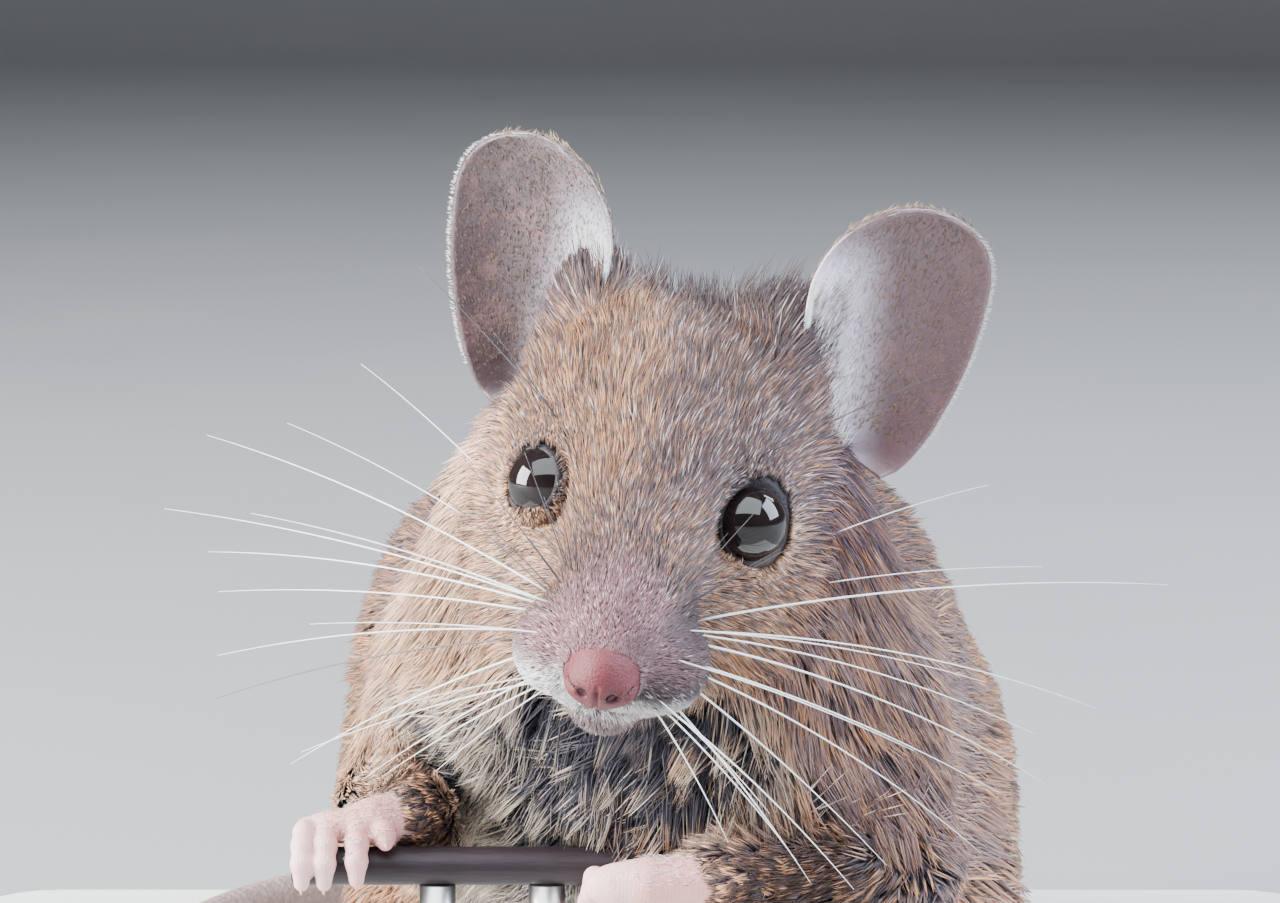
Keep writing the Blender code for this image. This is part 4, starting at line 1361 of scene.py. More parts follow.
def coatTints(zones, lot, other):
    # tip and root colours of tufts, and how far up each the tip's colour starts;
    # lot and other are random shares, one for each tuft
    count = len(lot)
    tip = overlay(plainTint("grey", count), (
        ("rear", zones["rear"]),
        ("fawn", smoothStep(weigh(zones, "golden") - lot, -0.12, 0.22)),
        *tipLayers(zones, lot, other),
    ))
    root = overlay(plainTint("slate", count), (
        ("warmRoot", zones["head"]),
        ("rearRoot", zones["rear"]),
        ("noseRoot", zones["noseTop"]),
        ("muzzleRoot", zones["muzzle"] * (1.0 - zones["padShade"])),
        ("eyeRoot", zones["eyeRim"] * 0.7),
    ))
    brightness = np.exp(weigh(zones, "spread") * (other - weigh(zones, "level")) + weigh(zones, "lift"))
    brightness = np.minimum(brightness, tinting["brightest"] / tip.max(axis=1))
    return tip * brightness[:, None], root, weigh(zones, "start")


bareSkin = {
    # where the bare skin's tones set in and are full
    "wrist": (4.5, 1.5),
    "rump": (54.5, 58.0),
    "nose": (1.25, 1.0),
    "lids": (2.7, 2.4),
    "lidLine": (-0.6, -0.25),
    "lowerLid": (-0.6, -1.6),
    "wetEdge": (0.16, 0.05),
    "nostrilFade": 5.0,
    "lowerLidPaleness": 0.75,
    "noseWetness": 0.8,
    "edgeWetness": 0.35,
}


def skinTints(points):
    # the bare skin's colour, and how wet it is
    shares = partShares(bodyParts(points))
    zones = coatZones(points, shares)
    local = toHead(points)
    folded = bothSides(local)
    wrists = [("wristSkin", shares[name] * smoothStep(fromEnd(points, name), *bareSkin["wrist"]))
              for name in legNames]
    nose = smoothStep(fromNose(local), *bareSkin["nose"])
    # painted shade in and round the nostril pits
    nostrilShade = np.exp(-np.maximum(limb(folded, *faceDetail["nostril"]), -0.1) * bareSkin["nostrilFade"])
    rim = smoothStep(fromEye(folded), *bareSkin["lids"]) * smoothStep(lidEdge(local), *bareSkin["lidLine"])
    lower = smoothStep(folded[:, 2], *bareSkin["lowerLid"])
    tint = overlay(plainTint("slate", len(points)), (
        ("headSkin", shares["head"]),
        ("noseTopSkin", zones["noseTop"]),
        ("muzzleSkin", zones["muzzle"]),
        *wrists,
        ("tail", smoothStep(points[:, 1], *bareSkin["rump"]) * (1.0 - shares["head"])),
        ("nose", nose),
        ("nostril", np.clip(nostrilShade, 0.0, 1.0) * nose),
        ("lid", rim * (1.0 - bareSkin["lowerLidPaleness"] * lower)),
    ))
    edge = smoothStep(np.abs(fromEye(folded) - eyes["radius"]), *bareSkin["wetEdge"])
    return tint, np.clip(nose * bareSkin["noseWetness"] + edge * bareSkin["edgeWetness"], 0.0, 1.0)


# ---- the coat

coat = {
    # on the head, by place forward
    "headPlaces": (-12.0, -7.0, -3.0, 2.0, 6.0, 9.0, 11.3, 12.8),
    "headLengths": (3.6, 3.0, 2.5, 2.0, 1.4, 0.85, 0.5, 0.32),
    "headWidths": (0.185, 0.135, 0.105, 0.09, 0.078, 0.065, 0.055, 0.046),
    "headDensities": (36.0, 66.0, 117.0, 150.0, 128.0, 135.0, 185.0, 230.0),
    # on the trunk, by place back
    "trunkPlaces": (-1.0, 10.0, 20.0, 32.0, 50.0, 57.0, 60.0),
    "trunkLengths": (4.4, 4.8, 5.2, 5.6, 5.2, 2.4, 1.2),
    "trunkWidths": (0.18, 0.2, 0.25, 0.42, 0.46, 0.32, 0.2),
    "trunkDensities": (42.5, 38.0, 26.5, 10.0, 7.8, 16.5, 31.0),
    # on the legs, by distance from wrist or heel
    "foreleg": ((0.0, 3.0, 8.0, 12.0), (0.95, 1.5, 2.8, 4.2), (0.08, 0.11, 0.16, 0.18), (96.0, 78.0, 45.0, 40.0)),
    "hindleg": ((0.6, 4.0, 12.0, 20.0), (0.9, 1.5, 3.8, 5.0), (0.15, 0.22, 0.38, 0.42), (40.0, 22.0, 9.4, 8.4)),
    "eyeClear": 2.26,
    "lidRim": 0.1,          # the lids' bare edge
    "eyeShort": (2.15, 0.34, 0.6),      # round the eye: from where, least length and how fast it grows
    "eyeFine": (0.055, 0.035),          # the same for the width
    "eyeDense": (0.7, 3.8, 2.4),
    "chestFineness": 0.36,
    "cheekLength": 0.9,
    "noseMiddle": (13.2, 0.0, -3.8),
    "noseReach": (2.4, 1.86, 1.85),
    "tailClear": 60.4,
    "patch": 0.003,         # how much of the unwrap a tuft takes
    "middle": 0.42,         # where along a tuft it is widest
    # longer on the mouse's left arm: partly painted shade under the head
    "umberReach": {"foreleg_right": (7.5, 4.5), "foreleg_left": (13.0, 8.5)},    # from the wrist
    "thinness": 0.42,
}

locks = {
    # how tufts gather into locks: share pulled, tufts to a lock, and how far locks turn aside
    "chest": (0.86, 26, 0.34),
    "trunk": (0.6, 10, 0.2),
    "head": (0.16, 7, 0.13),
}


def fromNose(local):
    return np.linalg.norm((local - coat["noseMiddle"]) / coat["noseReach"], axis=1)


def coatMeasures(points, shares):
    local = toHead(points)
    forward = local[:, 0]
    measures = []
    for kind in ("Lengths", "Widths", "Densities"):
        onTrunk = np.interp(points[:, 1], coat["trunkPlaces"], coat["trunk" + kind])
        onHead = np.interp(forward, coat["headPlaces"], coat["head" + kind])
        measures.append(onTrunk + (onHead - onTrunk) * shares["head"])
    for name in legNames:
        places, *onLeg = coat[name.split("_")[0]]
        distance = fromEnd(points, name)
        for i in range(3):
            measures[i] = measures[i] + (np.interp(distance, places, onLeg[i]) - measures[i]) * shares[name]
    length, width, density = measures
    width = width * (1.0 - coat["chestFineness"] * coatZones(points, shares)["chest"])
    cheek = shares["head"] * smoothStep(local[:, 2], -1.0, -4.5) * smoothStep(forward, 6.5, 1.0)
    length = length + coat["cheekLength"] * cheek
    eye = fromEye(bothSides(local))
    clear, least, growth = coat["eyeShort"]
    finest, widening = coat["eyeFine"]
    more, absent, full = coat["eyeDense"]
    length = np.minimum(length, least + growth * np.maximum(eye - clear, 0.0))
    width = np.minimum(width, finest + widening * np.maximum(eye - clear, 0.0))
    density = density * (1.0 + more * smoothStep(eye, absent, full))
    onLid = (eye < coat["eyeClear"]) & (lidEdge(local) > -coat["lidRim"])
    bare = onLid | (fromNose(local) < 1.0) | (points[:, 1] > coat["tailClear"])
    return length, width, np.where(bare, 0.0, density)


pawWays = {}
for side in ("right", "left"):
    heel, sole = footPoint(side, 0.0, 0.6, 1.9), footPoint(side, 0.0, 8.0, 1.4)
    pawWays["foreleg_" + side] = unitVectors(np.subtract(forepaws["palm"][side][0], legs["foreleg_" + side][0][2]))
    pawWays["hindleg_" + side] = unitVectors(np.subtract(sole, heel))

flow = {
    # which way the hair lies
    "chinDroop": (0.35, 0.0, -5.0),
    "eyeBack": 0.7,
    "eyePush": (1.8, 2.2, 0.8),         # how strongly round the eye, from where, and its reach
    "chest": (-0.5, 0.055),             # aside, and more so outwards
    "back": (0.015, -0.5),              # outwards, and down
    "legs": (13.0, 6.0),
    "wrists": (4.0, 1.8),
    "waves": ((0.16, (0.9, 0.7, 0.8), 0.0), (0.1, (-1.7, 1.3, 0.9), 2.0)),
}


def acrossNormals(ways, normals):
    return ways - normals * (ways * normals).sum(axis=1)[:, None]


def headFlow(local):
    # back from the nose, and round the eyes
    away = local - np.array(coat["noseMiddle"])
    droop, *chinRange = flow["chinDroop"]
    away[:, 2] = away[:, 2] - droop * smoothStep(local[:, 2], *chinRange) * np.linalg.norm(away, axis=1)
    folded = bothSides(local)
    facing = unitVectors(np.array(eyes["facing"]))
    fromBall = folded - np.array(eyes["place"])
    fromBall = unitVectors(fromBall - facing * (fromBall @ facing)[:, None]) - flow["eyeBack"] * facing
    fromBall[:, 1] = np.where(local[:, 1] < 0.0, -fromBall[:, 1], fromBall[:, 1])
    strength, start, reach = flow["eyePush"]
    push = np.exp(-np.maximum(fromEye(folded) - start, 0.0) / reach)[:, None]
    return unitVectors(away) @ headAxes.T + strength * push * fromBall @ headAxes.T


def coatFlow(points, normals, shares):
    x, y = points.T[:2]
    count = len(points)
    aside, more = flow["chest"]
    chestWay = np.stack([aside + more * x, np.zeros(count), -np.ones(count)], axis=1)
    outward, down = flow["back"]
    backWay = np.stack([outward * x, np.ones(count), down * np.ones(count)], axis=1)
    rear = np.maximum(smoothStep(y, 7.0, 20.0), smoothStep(normals[:, 2], 0.3, 0.8))
    way = lerp(unitVectors(lerp(chestWay, backWay, rear)), headFlow(toHead(points)), shares["head"])
    for name in legNames:
        joints = np.array(legs[name][0], float)
        distance = fromEnd(points, name)
        for goal, reach in ((unitVectors(joints[-1] - joints[-2]), "legs"), (pawWays[name], "wrists")):
            way = lerp(way, np.tile(goal, (count, 1)), shares[name] * smoothStep(distance, *flow[reach]))
    wave = sum(height * np.sin(points @ np.array(rate) + phase) for height, rate, phase in flow["waves"])
    way = unitVectors(acrossNormals(way, normals))
    return unitVectors(way + np.cross(normals, way) * wave[:, None])


def chooseRoots(faces, vertices, normals, corners, density):
    # random places on triangles, as many as the density asks for
    a, b, c = (vertices[faces[:, k]] for k in range(3))
    area = np.linalg.norm(np.cross(b - a, c - a), axis=1) / 2
    chosen = np.repeat(np.arange(len(faces)), rng.poisson(area * density))
    share = rng.random((len(chosen), 2))
    over = share.sum(axis=1) > 1.0
    share[over] = 1.0 - share[over]
    weights = np.stack([1.0 - share.sum(axis=1), share[:, 0], share[:, 1]], axis=1)
    points = (vertices[faces[chosen]] * weights[..., None]).sum(axis=1)
    facing = unitVectors((normals[faces[chosen]] * weights[..., None]).sum(axis=1))
    places = (corners[chosen] * weights[..., None]).sum(axis=1)
    return points, facing, places


def chooseLocks(roots, size):
    # the nearest of a few leading tufts, for each tuft
    count = len(roots)
    leaders = rng.choice(count, max(1, count // size), replace=False)
    tree = KDTree(len(leaders))
    for k, leader in enumerate(leaders):
        tree.insert(Vector(roots[leader]), k)
    tree.balance()
    nearest = np.array([tree.find(Vector(root))[1] for root in roots])
    return leaders[nearest], rng.random(len(leaders))[nearest]


def gather(paths, leaders, pulls):
    # draws each tuft's tip towards that of its lock's leader
    steps = np.array((0.0, coat["middle"], 1.0)) ** tufts["gathering"]
    return paths + (paths[leaders] - paths) * pulls[:, None, None] * steps[None, :, None]


def tuftShapes(paths, normals, widths):
    # closed spindles: a point under the skin, three corners at mid length and a pointed tip
    ways = paths[:, 2] - paths[:, 0]
    side = unitVectors(np.cross(ways, normals))
    ridge = unitVectors(np.cross(side, ways))
    half = widths[:, None] / 2
    middle = paths[:, 1]
    top = middle + ridge * half * 2 * coat["thinness"]
    return np.stack([paths[:, 0], middle - side * half, middle + side * half, top, paths[:, 2]], axis=1)


def tuftMesh(name, paths, normals, widths, tints, lot, places):
    tips, roots, start = tints
    shapes = tuftShapes(paths, normals, widths)
    count = len(paths)
    faces = np.array([(0, 2, 1), (0, 3, 2), (0, 1, 3), (4, 1, 2), (4, 2, 3), (4, 3, 1)])
    corners = shapes.shape[1]
    triangles = (faces[None] + (np.arange(count) * corners)[:, None, None]).reshape(-1, 3)
    mesh = meshFrom(name, toWorld(shapes.reshape(-1, 3)), triangles)
    along = np.array([0.0, coat["middle"], coat["middle"], coat["middle"], 1.0])
    aside = np.array([0.5, 0.0, 1.0, 0.5, 0.5])
    lean = np.array([0.0, 0.0, 0.0, 0.12, 0.0])
    setColours(mesh, "tipTint", np.repeat(tips, corners, axis=0))
    setColours(mesh, "rootTint", np.repeat(roots, corners, axis=0))
    setNumbers(mesh, "along", np.tile(along, count))
    setNumbers(mesh, "aside", np.tile(aside, count))
    setNumbers(mesh, "lot", np.repeat(lot, corners))
    setNumbers(mesh, "start", np.repeat(start, corners))
    inPatch = np.stack([aside - 0.5, along - 0.5 + lean], axis=1) * coat["patch"]
    flat = (places[:, None] * 0.994 + 0.003 + inPatch[None]).reshape(-1, 2)
    layer = mesh.uv_layers.new(name="OFBake")
    layer.data.foreach_set("uv", flat[triangles.ravel()].astype(np.float32).ravel())
    return mesh


def setColours(mesh, name, colours):
    layer = mesh.attributes.new(name, "FLOAT_COLOR", "POINT")
    layer.data.foreach_set("color", np.column_stack([colours, np.ones(len(colours))]).astype(np.float32).ravel())


def setNumbers(mesh, name, numbers):
    layer = mesh.attributes.new(name, "FLOAT", "POINT")
    layer.data.foreach_set("value", np.asarray(numbers, np.float32))


def triangleArrays(mesh):
    mesh.calc_loop_triangles()
    arrays = []
    for name in ("vertices", "loops"):
        flat = np.empty(len(mesh.loop_triangles) * 3, np.int32)
        mesh.loop_triangles.foreach_get(name, flat)
        arrays.append(flat.reshape(-1, 3))
    return arrays


coatRegions = ("muzzle", "brow", "crown", "cheeks", "chest_right", "chest_middle", "chest_left", "shoulder_right",
               "shoulder_left", "flanks", "back", "haunches")
chestEdges = (-4.5, 3.5)


def regionOf(centres):
    head = partShares(bodyParts(centres))["head"] > 0.5
    local = toHead(centres)
    x, y, z = centres.T
    chest = np.where(x < chestEdges[0], 4, np.where(x < chestEdges[1], 5, 6))
    shoulder = np.where(x < 0.7, 7, 8)
    region = np.where(y < 11.0, chest, np.where(y < 24.0, shoulder, np.where(z < 17.0, 9, 10)))
    region = np.where(y > 42.0, 11, region)
    onHead = np.where(local[:, 0] > 5.5, 0, np.where(local[:, 2] < -0.5, 3, np.where(local[:, 0] > 0.0, 1, 2)))
    return np.where(head, onHead, region)


def partOfMesh(mesh, chosen):
    # the chosen faces as a mesh of their own, unwrapped to fill the square
    work = bmesh.new()
    work.from_mesh(mesh)
    work.faces.ensure_lookup_table()
    bmesh.ops.delete(work, geom=[work.faces[i] for i in np.flatnonzero(~chosen)], context="FACES")
    part = bpy.data.meshes.new("part")
    work.to_mesh(part)
    work.free()
    piece = addObject("part", part)
    bpy.context.view_layer.objects.active = piece
    piece.select_set(True)
    bpy.ops.object.mode_set(mode="EDIT")
    bpy.ops.mesh.select_all(action="SELECT")
    bpy.ops.uv.smart_project(angle_limit=math.radians(60), island_margin=0.004)
    bpy.ops.object.mode_set(mode="OBJECT")
    bpy.data.objects.remove(piece)
    return part


def facesOf(part):
    # its corners, faces and their places on the unwrap
    faces, loops = triangleArrays(part)
    flat = np.empty(len(part.loops) * 2, np.float32)
    part.uv_layers.active.data.foreach_get("uv", flat)
    return readPoints(part), faces, flat.reshape(-1, 2).astype(float)[loops]


def makeCoatPiece(name, mesh, chosen):
    vertices, faces, places = facesOf(partOfMesh(mesh, chosen))
    normals = unitVectors(slopeOf(vertices, skinField, skinField(vertices)))
    centres = vertices[faces].mean(axis=1)
    density = coatMeasures(centres, partShares(bodyParts(centres)))[2]
    return growTufts(name, *chooseRoots(faces, vertices, normals, places, density))


partingShares = {
    # shares of low tufts; where there are two more numbers, they set in at the first and are full at the second
    # throatShade adds low dark tufts at the throat under the chin, painted shade; fewerRight takes them away on the
    # mouse's right side, where the light falls, painted light
    "chest": 0.34, "chestLow": (0.16, 24.0, 19.0), "throatShade": (0.45, 20.5, 24.0), "throatShadeSide": (5.5, 3.0),
    "tanChest": 0.12, "cheek": 0.02, "fewerRight": (0.75, -3.5, -6.5),
    "side": (0.14, 26.0, 16.0),
    "loose": 0.6,
    "lower": 0.55,
}


def partings(zones, roots, limbShare, lockLot):
    # tufts that lie low and dark between the others, 0 or 1: whole locks on the flanks, loose ones on the chest; more
    # at the throat as painted shade, fewer on the mouse's lit right side as painted light
    x, y, z = roots.T
    at = partingShares

    def ranged(name, values):
        weight, absent, full = at[name]
        return weight * smoothStep(values, absent, full)

    lockLot = lockLot + (rng.random(len(lockLot)) - lockLot) * at["loose"] * zones["chest"]
    # painted shade at the throat under the chin
    throat = ranged("throatShade", z) * smoothStep(np.abs(x - spots["throat"][0]), *at["throatShadeSide"])
    share = (at["chest"] + ranged("chestLow", z) + throat) * zones["chest"]
    share = share + at["tanChest"] * zones["tanChest"] + at["cheek"] * zones["cheek"]
    share = share * (1.0 - ranged("fewerRight", x))
    share = share + ranged("side", y) * zones["side"] * (1.0 - zones["rightFront"])
    return (lockLot < share * (1.0 - limbShare)).astype(float)


tufts = {
    "lengths": (0.78, 1.15),    # least and most share of the coat's length there
    "widths": (0.75, 1.2),
    "lockAlike": 0.6,       # how alike the brightness is within a lock
    "thinned": (0.8, 0.75),     # the guard hairs' lot and width
    "strays": (0.035, 0.1, 0.35, 0.9, 0.5),     # share, more on the crown, rise, more on the crown, width
    "droop": (0.55, 1.5),       # how much lower the lowest lie, and how rare they are
    "pulls": (0.75, 1.1, 0.95),         # least and most share of the lock's pull, and its limit
    "gathering": 1.4,       # above 1, a lock's tufts meet nearer their tips
    "buried": 0.05,
    "lift": 0.8,                # below 1, tufts rise steeply from their roots
    "parted": 0.9,              # how dark a parting's tufts are
}


def layTufts(roots, facing, ways, length, rise):
    # root, middle and tip of each tuft, as high over the skin as the coat's depth and its own rise say
    steps = np.array((0.0, coat["middle"], 1.0))
    paths = roots[:, None] + ways[:, None] * (length[:, None] * steps)[..., None]
    depth = coatDepth(roots, bodyParts(roots))
    paths = paths + facing[:, None] * (depth[:, None] * steps)[..., None]
    for k in (1, 2):
        here = paths[:, k]
        depth = coatDepth(here, bodyParts(here))
        above = tufts["buried"] + depth * rise * steps[k] ** tufts["lift"]
        paths[:, k] = settle(here, skinField, above, 2, 1.2)
    paths[:, 0] = settle(roots, skinField, -tufts["buried"], 1, 0.2)
    return paths


def growTufts(name, roots, facing, places):
    shares = partShares(bodyParts(roots))
    length, width, density = coatMeasures(roots, shares)
    kept = density > 0.0
    roots, facing, places, length, width = (values[kept] for values in (roots, facing, places, length, width))
    shares = {part: share[kept] for part, share in shares.items()}
    count = len(roots)
    zones = coatZones(roots, shares)
    pull, size, aside = (onTrunk + (onChest - onTrunk) * zones["chest"]
                         for onTrunk, onChest in zip(locks["trunk"], locks["chest"]))
    headPull, headSize, headAside = locks["head"]
    pull = pull + (headPull - pull) * shares["head"]
    aside = aside + (headAside - aside) * shares["head"]
    size = headSize if shares["head"].mean() > 0.6 else int(size.mean())
    lot = rng.random(count)
    leaders, lockLot = chooseLocks(roots, size)
    other = rng.random(count)
    other = other + (lockLot - other) * tufts["lockAlike"]
    way = coatFlow(roots, facing, shares)
    way = unitVectors(way + np.cross(facing, way) * (aside * rng.normal(0.0, 1.0, count))[:, None])
    length = length * rng.uniform(*tufts["lengths"], count)
    crown = shares["head"] * smoothStep(toHead(roots)[:, 0], -3.0, -8.0) * smoothStep(facing[:, 2], 0.3, 0.8)
    strays, crownStrays, lift, crownLift, strayWidth = tufts["strays"]
    stray = rng.random(count) < strays + crownStrays * crown
    droop, power = tufts["droop"]
    rise = 1.0 - droop * rng.random(count) ** power + stray * (lift + crownLift * crown)
    parting = partings(zones, roots, np.maximum(shares["foreleg_right"], shares["foreleg_left"]), lockLot)
    rise = rise * (1.0 - partingShares["lower"] * parting)
    paths = layTufts(roots, facing, way, length, rise)
    leastPull, mostPull, pullLimit = tufts["pulls"]
    paths = gather(paths, leaders, np.clip(pull * rng.uniform(leastPull, mostPull, count), 0.0, pullLimit))
    tips, rootTints, start = coatTints(zones, lot, other)
    tints = (lerp(tips, tones["parting"], parting * tufts["parted"]), rootTints, start)
    guardLot, guardWidth = tufts["thinned"]
    width = width * rng.uniform(*tufts["widths"], count) * np.where(lot > guardLot, guardWidth, 1.0)
    width = width * np.where(stray, strayWidth, 1.0)
    return tuftMesh(name, paths, facing, width, tints, lot, places)


# ---- short hair on ears, hands and feet

earHair = {
    # tufts, least and most length, width, tilt off the skin in degrees
    "inside": (4000, 0.22, 0.5, 0.038, 20.0),
    "fringe": (1500, 0.9, 2.6, 0.055, 26.0),
    "back": (5000, 0.55, 1.1, 0.08, 14.0),
    "rim": (1500, 0.18, 0.45, 0.035, 8.0),
    "insideTones": ((0.46, 0.31, 0.20), (0.24, 0.16, 0.15)),
    "fringeTones": ((0.93, 0.90, 0.93), (0.72, 0.60, 0.54)),
    "backTones": ((0.50, 0.34, 0.22), (0.22, 0.16, 0.15)),
    "rimTones": ((0.92, 0.88, 0.88), (0.75, 0.66, 0.62)),
    "lean": 0.25,           # how far the hairs turn from each other
    "bend": -0.35,
    "slants": (0.4, 1.4),
    "tipOnTop": 0.35,       # share of the rim's hairs at the ear's tip
    "sheenShare": 0.66,
    "rootShade": 0.7,
    "start": 0.1,
}


def earFrame(side, across, share):
    # a place on the sheet, the ways along and across it, and its hollow side's normal
    reach = 0.004
    place = earSheet(side, across, share)
    along = unitVectors(earSheet(side, across, share + reach) - place)
    over = unitVectors(earSheet(side, across + reach, share) - place)
    facing = unitVectors(np.cross(over, along)) * side
    return place, along, over, facing


def earSheen(across, share):
    # the pale inner part of the ear's hollow: partly its paler skin and hair, partly a painted sheen of light on and
    # through it
    return smoothStep(across + 0.3 * share, 0.3, -0.45) * smoothStep(share, 0.97, 0.7)


def earHairs(side, kind):
    count, least, most, width, tilt = earHair[kind]
    across = rng.uniform(-0.97, 0.97, count)
    share = rng.uniform(0.1, 0.97, count)
    if kind == "fringe":
        across = -0.98 + 0.5 * rng.random(count) ** 1.6
        share = 0.05 + 0.62 * rng.random(count)
    if kind == "rim":
        onTop = rng.random(count) < earHair["tipOnTop"]
        across = np.where(onTop, across, 0.985 * np.sign(across))
        share = np.where(onTop, 0.985, share)
    place, along, over, facing = earFrame(side, across, share)
    if kind == "back":
        facing = -facing
    aside = rng.normal(0.0, earHair["lean"], count)
    if kind == "fringe":
        aside = aside + 0.7
    if kind == "inside":
        aside = aside + 0.6 * across
    if kind == "rim":
        aside = aside + np.where(onTop, across * 1.5, 3.0 * np.sign(across))
    way = unitVectors(along + over * aside[:, None])
    slant = math.radians(tilt)
    slants = rng.uniform(*earHair["slants"], count)[:, None]
    way = unitVectors(way * math.cos(slant) + facing * math.sin(slant) * slants)
    length = rng.uniform(least, most, count)
    if kind == "fringe":
        length = length * (1.0 - 0.5 * share)
    bend = facing * (earHair["bend"] * math.sin(slant) * length)[:, None]
    thickness = 0.0 if kind == "rim" else ears["thickness"] * 0.8
    start = place + facing * thickness
    paths = np.stack([start, start + way * length[:, None] * 0.5, start + way * length[:, None] + bend], axis=1)
    lot = rng.random(count)
    pale, dark = (np.array(tone) for tone in earHair[kind + "Tones"])
    tips = lerp(pale, dark, smoothStep(lot, 0.45, 0.8))
    # inside the hollow, hairs paler towards the painted sheen, and each ear's hairs lighter or dimmer by side:
    # painted light
    if kind == "inside":
        sheen = earSheen(across, share)
        tips = lerp(tips, np.array(earHair["fringeTones"][0]), sheen) * ears["paintedLightBySide"][side] * earHair["sheenShare"]
        tips = np.minimum(tips, tinting["brightest"])
    half = 0.75 if kind == "back" else 0.25
    places = np.stack([half + across * 0.22, share * 0.9 + 0.05], axis=1)
    tints = (tips, tips * earHair["rootShade"], np.full(count, earHair["start"]))
    return paths, facing, np.full(count, width), tints, lot, places


def makeEarCoat(name, side):
    kinds = [earHairs(side, kind) for kind in ("inside", "fringe", "back", "rim")]
    paths, facing, widths, tints, lot, places = zip(*kinds)
    tints = tuple(np.concatenate(parts) for parts in zip(*tints))
    paths, facing, widths, lot, places = (np.concatenate(parts) for parts in (paths, facing, widths, lot, places))
    return tuftMesh(name, paths, facing, widths, tints, lot, places)


pawHair = {
    "density": 30.0,
    "length": (0.3, 0.65),
    "width": 0.036,
    "reach": {False: (2.0, 6.0), True: (8.0, 15.0)},    # thins out between these distances from wrist or heel
    "buried": 0.03,
    "lean": 0.2,
    "rise": 0.3,
    "droop": 0.12,
    "rootShade": 0.8,
    "start": 0.1,
}


def makePawCoat(name, paws):
    found = []
    for k, (side, hind, paw) in enumerate(paws):
        vertices, faces, unwrap = facesOf(partOfMesh(paw, np.ones(len(paw.polygons), bool)))
        facing = readVectors(paw.vertex_normals, "vector")
        centres = vertices[faces].mean(axis=1)
        leg = legName(side, hind)
        distance = fromEnd(centres, leg)
        upward = smoothStep(facing[faces].mean(axis=1)[:, 2], -0.1, 0.4)
        density = pawHair["density"] * upward * smoothStep(distance, *pawHair["reach"][hind][::-1])
        roots, normals, places = chooseRoots(faces, vertices, facing, unwrap, density)
        quarter = np.array([k % 2, k // 2])
        found.append((roots, normals, (places + quarter) * 0.5, np.tile(pawWays[leg], (len(roots), 1))))
    roots, normals, places, ways = (np.concatenate(parts) for parts in zip(*found))
    count = len(roots)
    ways = unitVectors(unitVectors(acrossNormals(ways, normals)) + rng.normal(0.0, pawHair["lean"], (count, 3))
                       + normals * pawHair["rise"])
    length = rng.uniform(*pawHair["length"], count)[:, None]
    paths = np.stack([roots - normals * pawHair["buried"], roots + ways * length * 0.5,
                      roots + ways * length - normals * length * pawHair["droop"]], axis=1)
    lot = rng.random(count)
    tips = lerp(tones["white"], tones["fawn"], smoothStep(lot, 0.6, 0.9))
    tints = (tips, tips * pawHair["rootShade"], np.full(count, pawHair["start"]))
    return tuftMesh(name, paths, normals, np.full(count, pawHair["width"]), tints, lot, places)


# ---- materials

def furLook():
    look = Look("fur")
    along = look.attribute("along", "Fac")
    lot = look.attribute("lot", "Fac")
    aside = look.attribute("aside", "Fac")
    reach = ((along - look.attribute("start", "Fac")) * 2.6 - lot * 0.35).clip()
    colour = look.mix(look.attribute("rootTint"), look.attribute("tipTint"), reach)
    strands = (aside * 19.0 + lot * 40.0).sine() * 0.5 + 0.5
    shade = strands * 0.22 + 0.86
    grey = look.node("CombineColor", {}, {"Red": shade, "Green": shade, "Blue": shade})
    colour = look.mix(colour, grey, 1.0, "MULTIPLY")
    bump = look.bump(strands, 0.03, 0.5)
    return look.finish(Base_Color=colour, Roughness=0.55, Specular_IOR_Level=0.2, Sheen_Weight=0.05,
                       Sheen_Roughness=0.4, Normal=bump)


def grainedLook(name, first, second, scale, detail, **surface):
    # two colours in a fine grain
    look = Look(name)
    grain = look.noise(scale, detail)
    return look.finish(Base_Color=look.mix(first, second, grain), **surface)


def hairLook(name, colour, roughness):
    darker = tuple(0.75 * part for part in colour)
    return grainedLook(name, colour, darker, 9.0, 2.0, Roughness=roughness, Specular_IOR_Level=0.6)


def skinLook():
    look = Look("skin")
    wet = look.attribute("wet", "Fac")
    pores = look.node("TexVoronoi", {}, {"Vector": look.places(), "Scale": 6.0})
    mottle = look.noise(1.4, 4.0)
    fine = look.noise(14.0, 3.0)
    dappled = look.mix((0.84, 0.84, 0.84), (1.0, 1.0, 1.0), mottle)
    colour = look.mix(look.attribute("tint"), dappled, 1.0, "MULTIPLY")
    height = pores * 0.4 + fine * 0.6
    return look.finish(Base_Color=colour, Roughness=0.62 - wet * 0.2, Specular_IOR_Level=0.3,
                       Subsurface_Weight=0.1, Subsurface_Scale=0.0005, Normal=look.bump(height, 0.1, 0.7))


def earLook():
    look = Look("earSkin")
    speck = look.node("TexVoronoi", {}, {"Vector": look.places(), "Scale": 3.6})
    fine = look.noise(11.0, 3.0)
    veins = look.noise(0.55, 5.0, 0.62)
    colour = look.mix(look.attribute("tint"), (0.36, 0.16, 0.15), ((veins - 0.52) * 4.0).clip() * 0.35)
    colour = look.mix(colour, (0.50, 0.36, 0.27), (0.3 - speck).clip() * 0.8)
    return look.finish(Base_Color=colour, Roughness=0.5, Specular_IOR_Level=0.5, Subsurface_Weight=0.2,
                       Subsurface_Scale=0.0005, Sheen_Weight=0.3, Normal=look.bump(speck + fine, 0.035, 0.6))


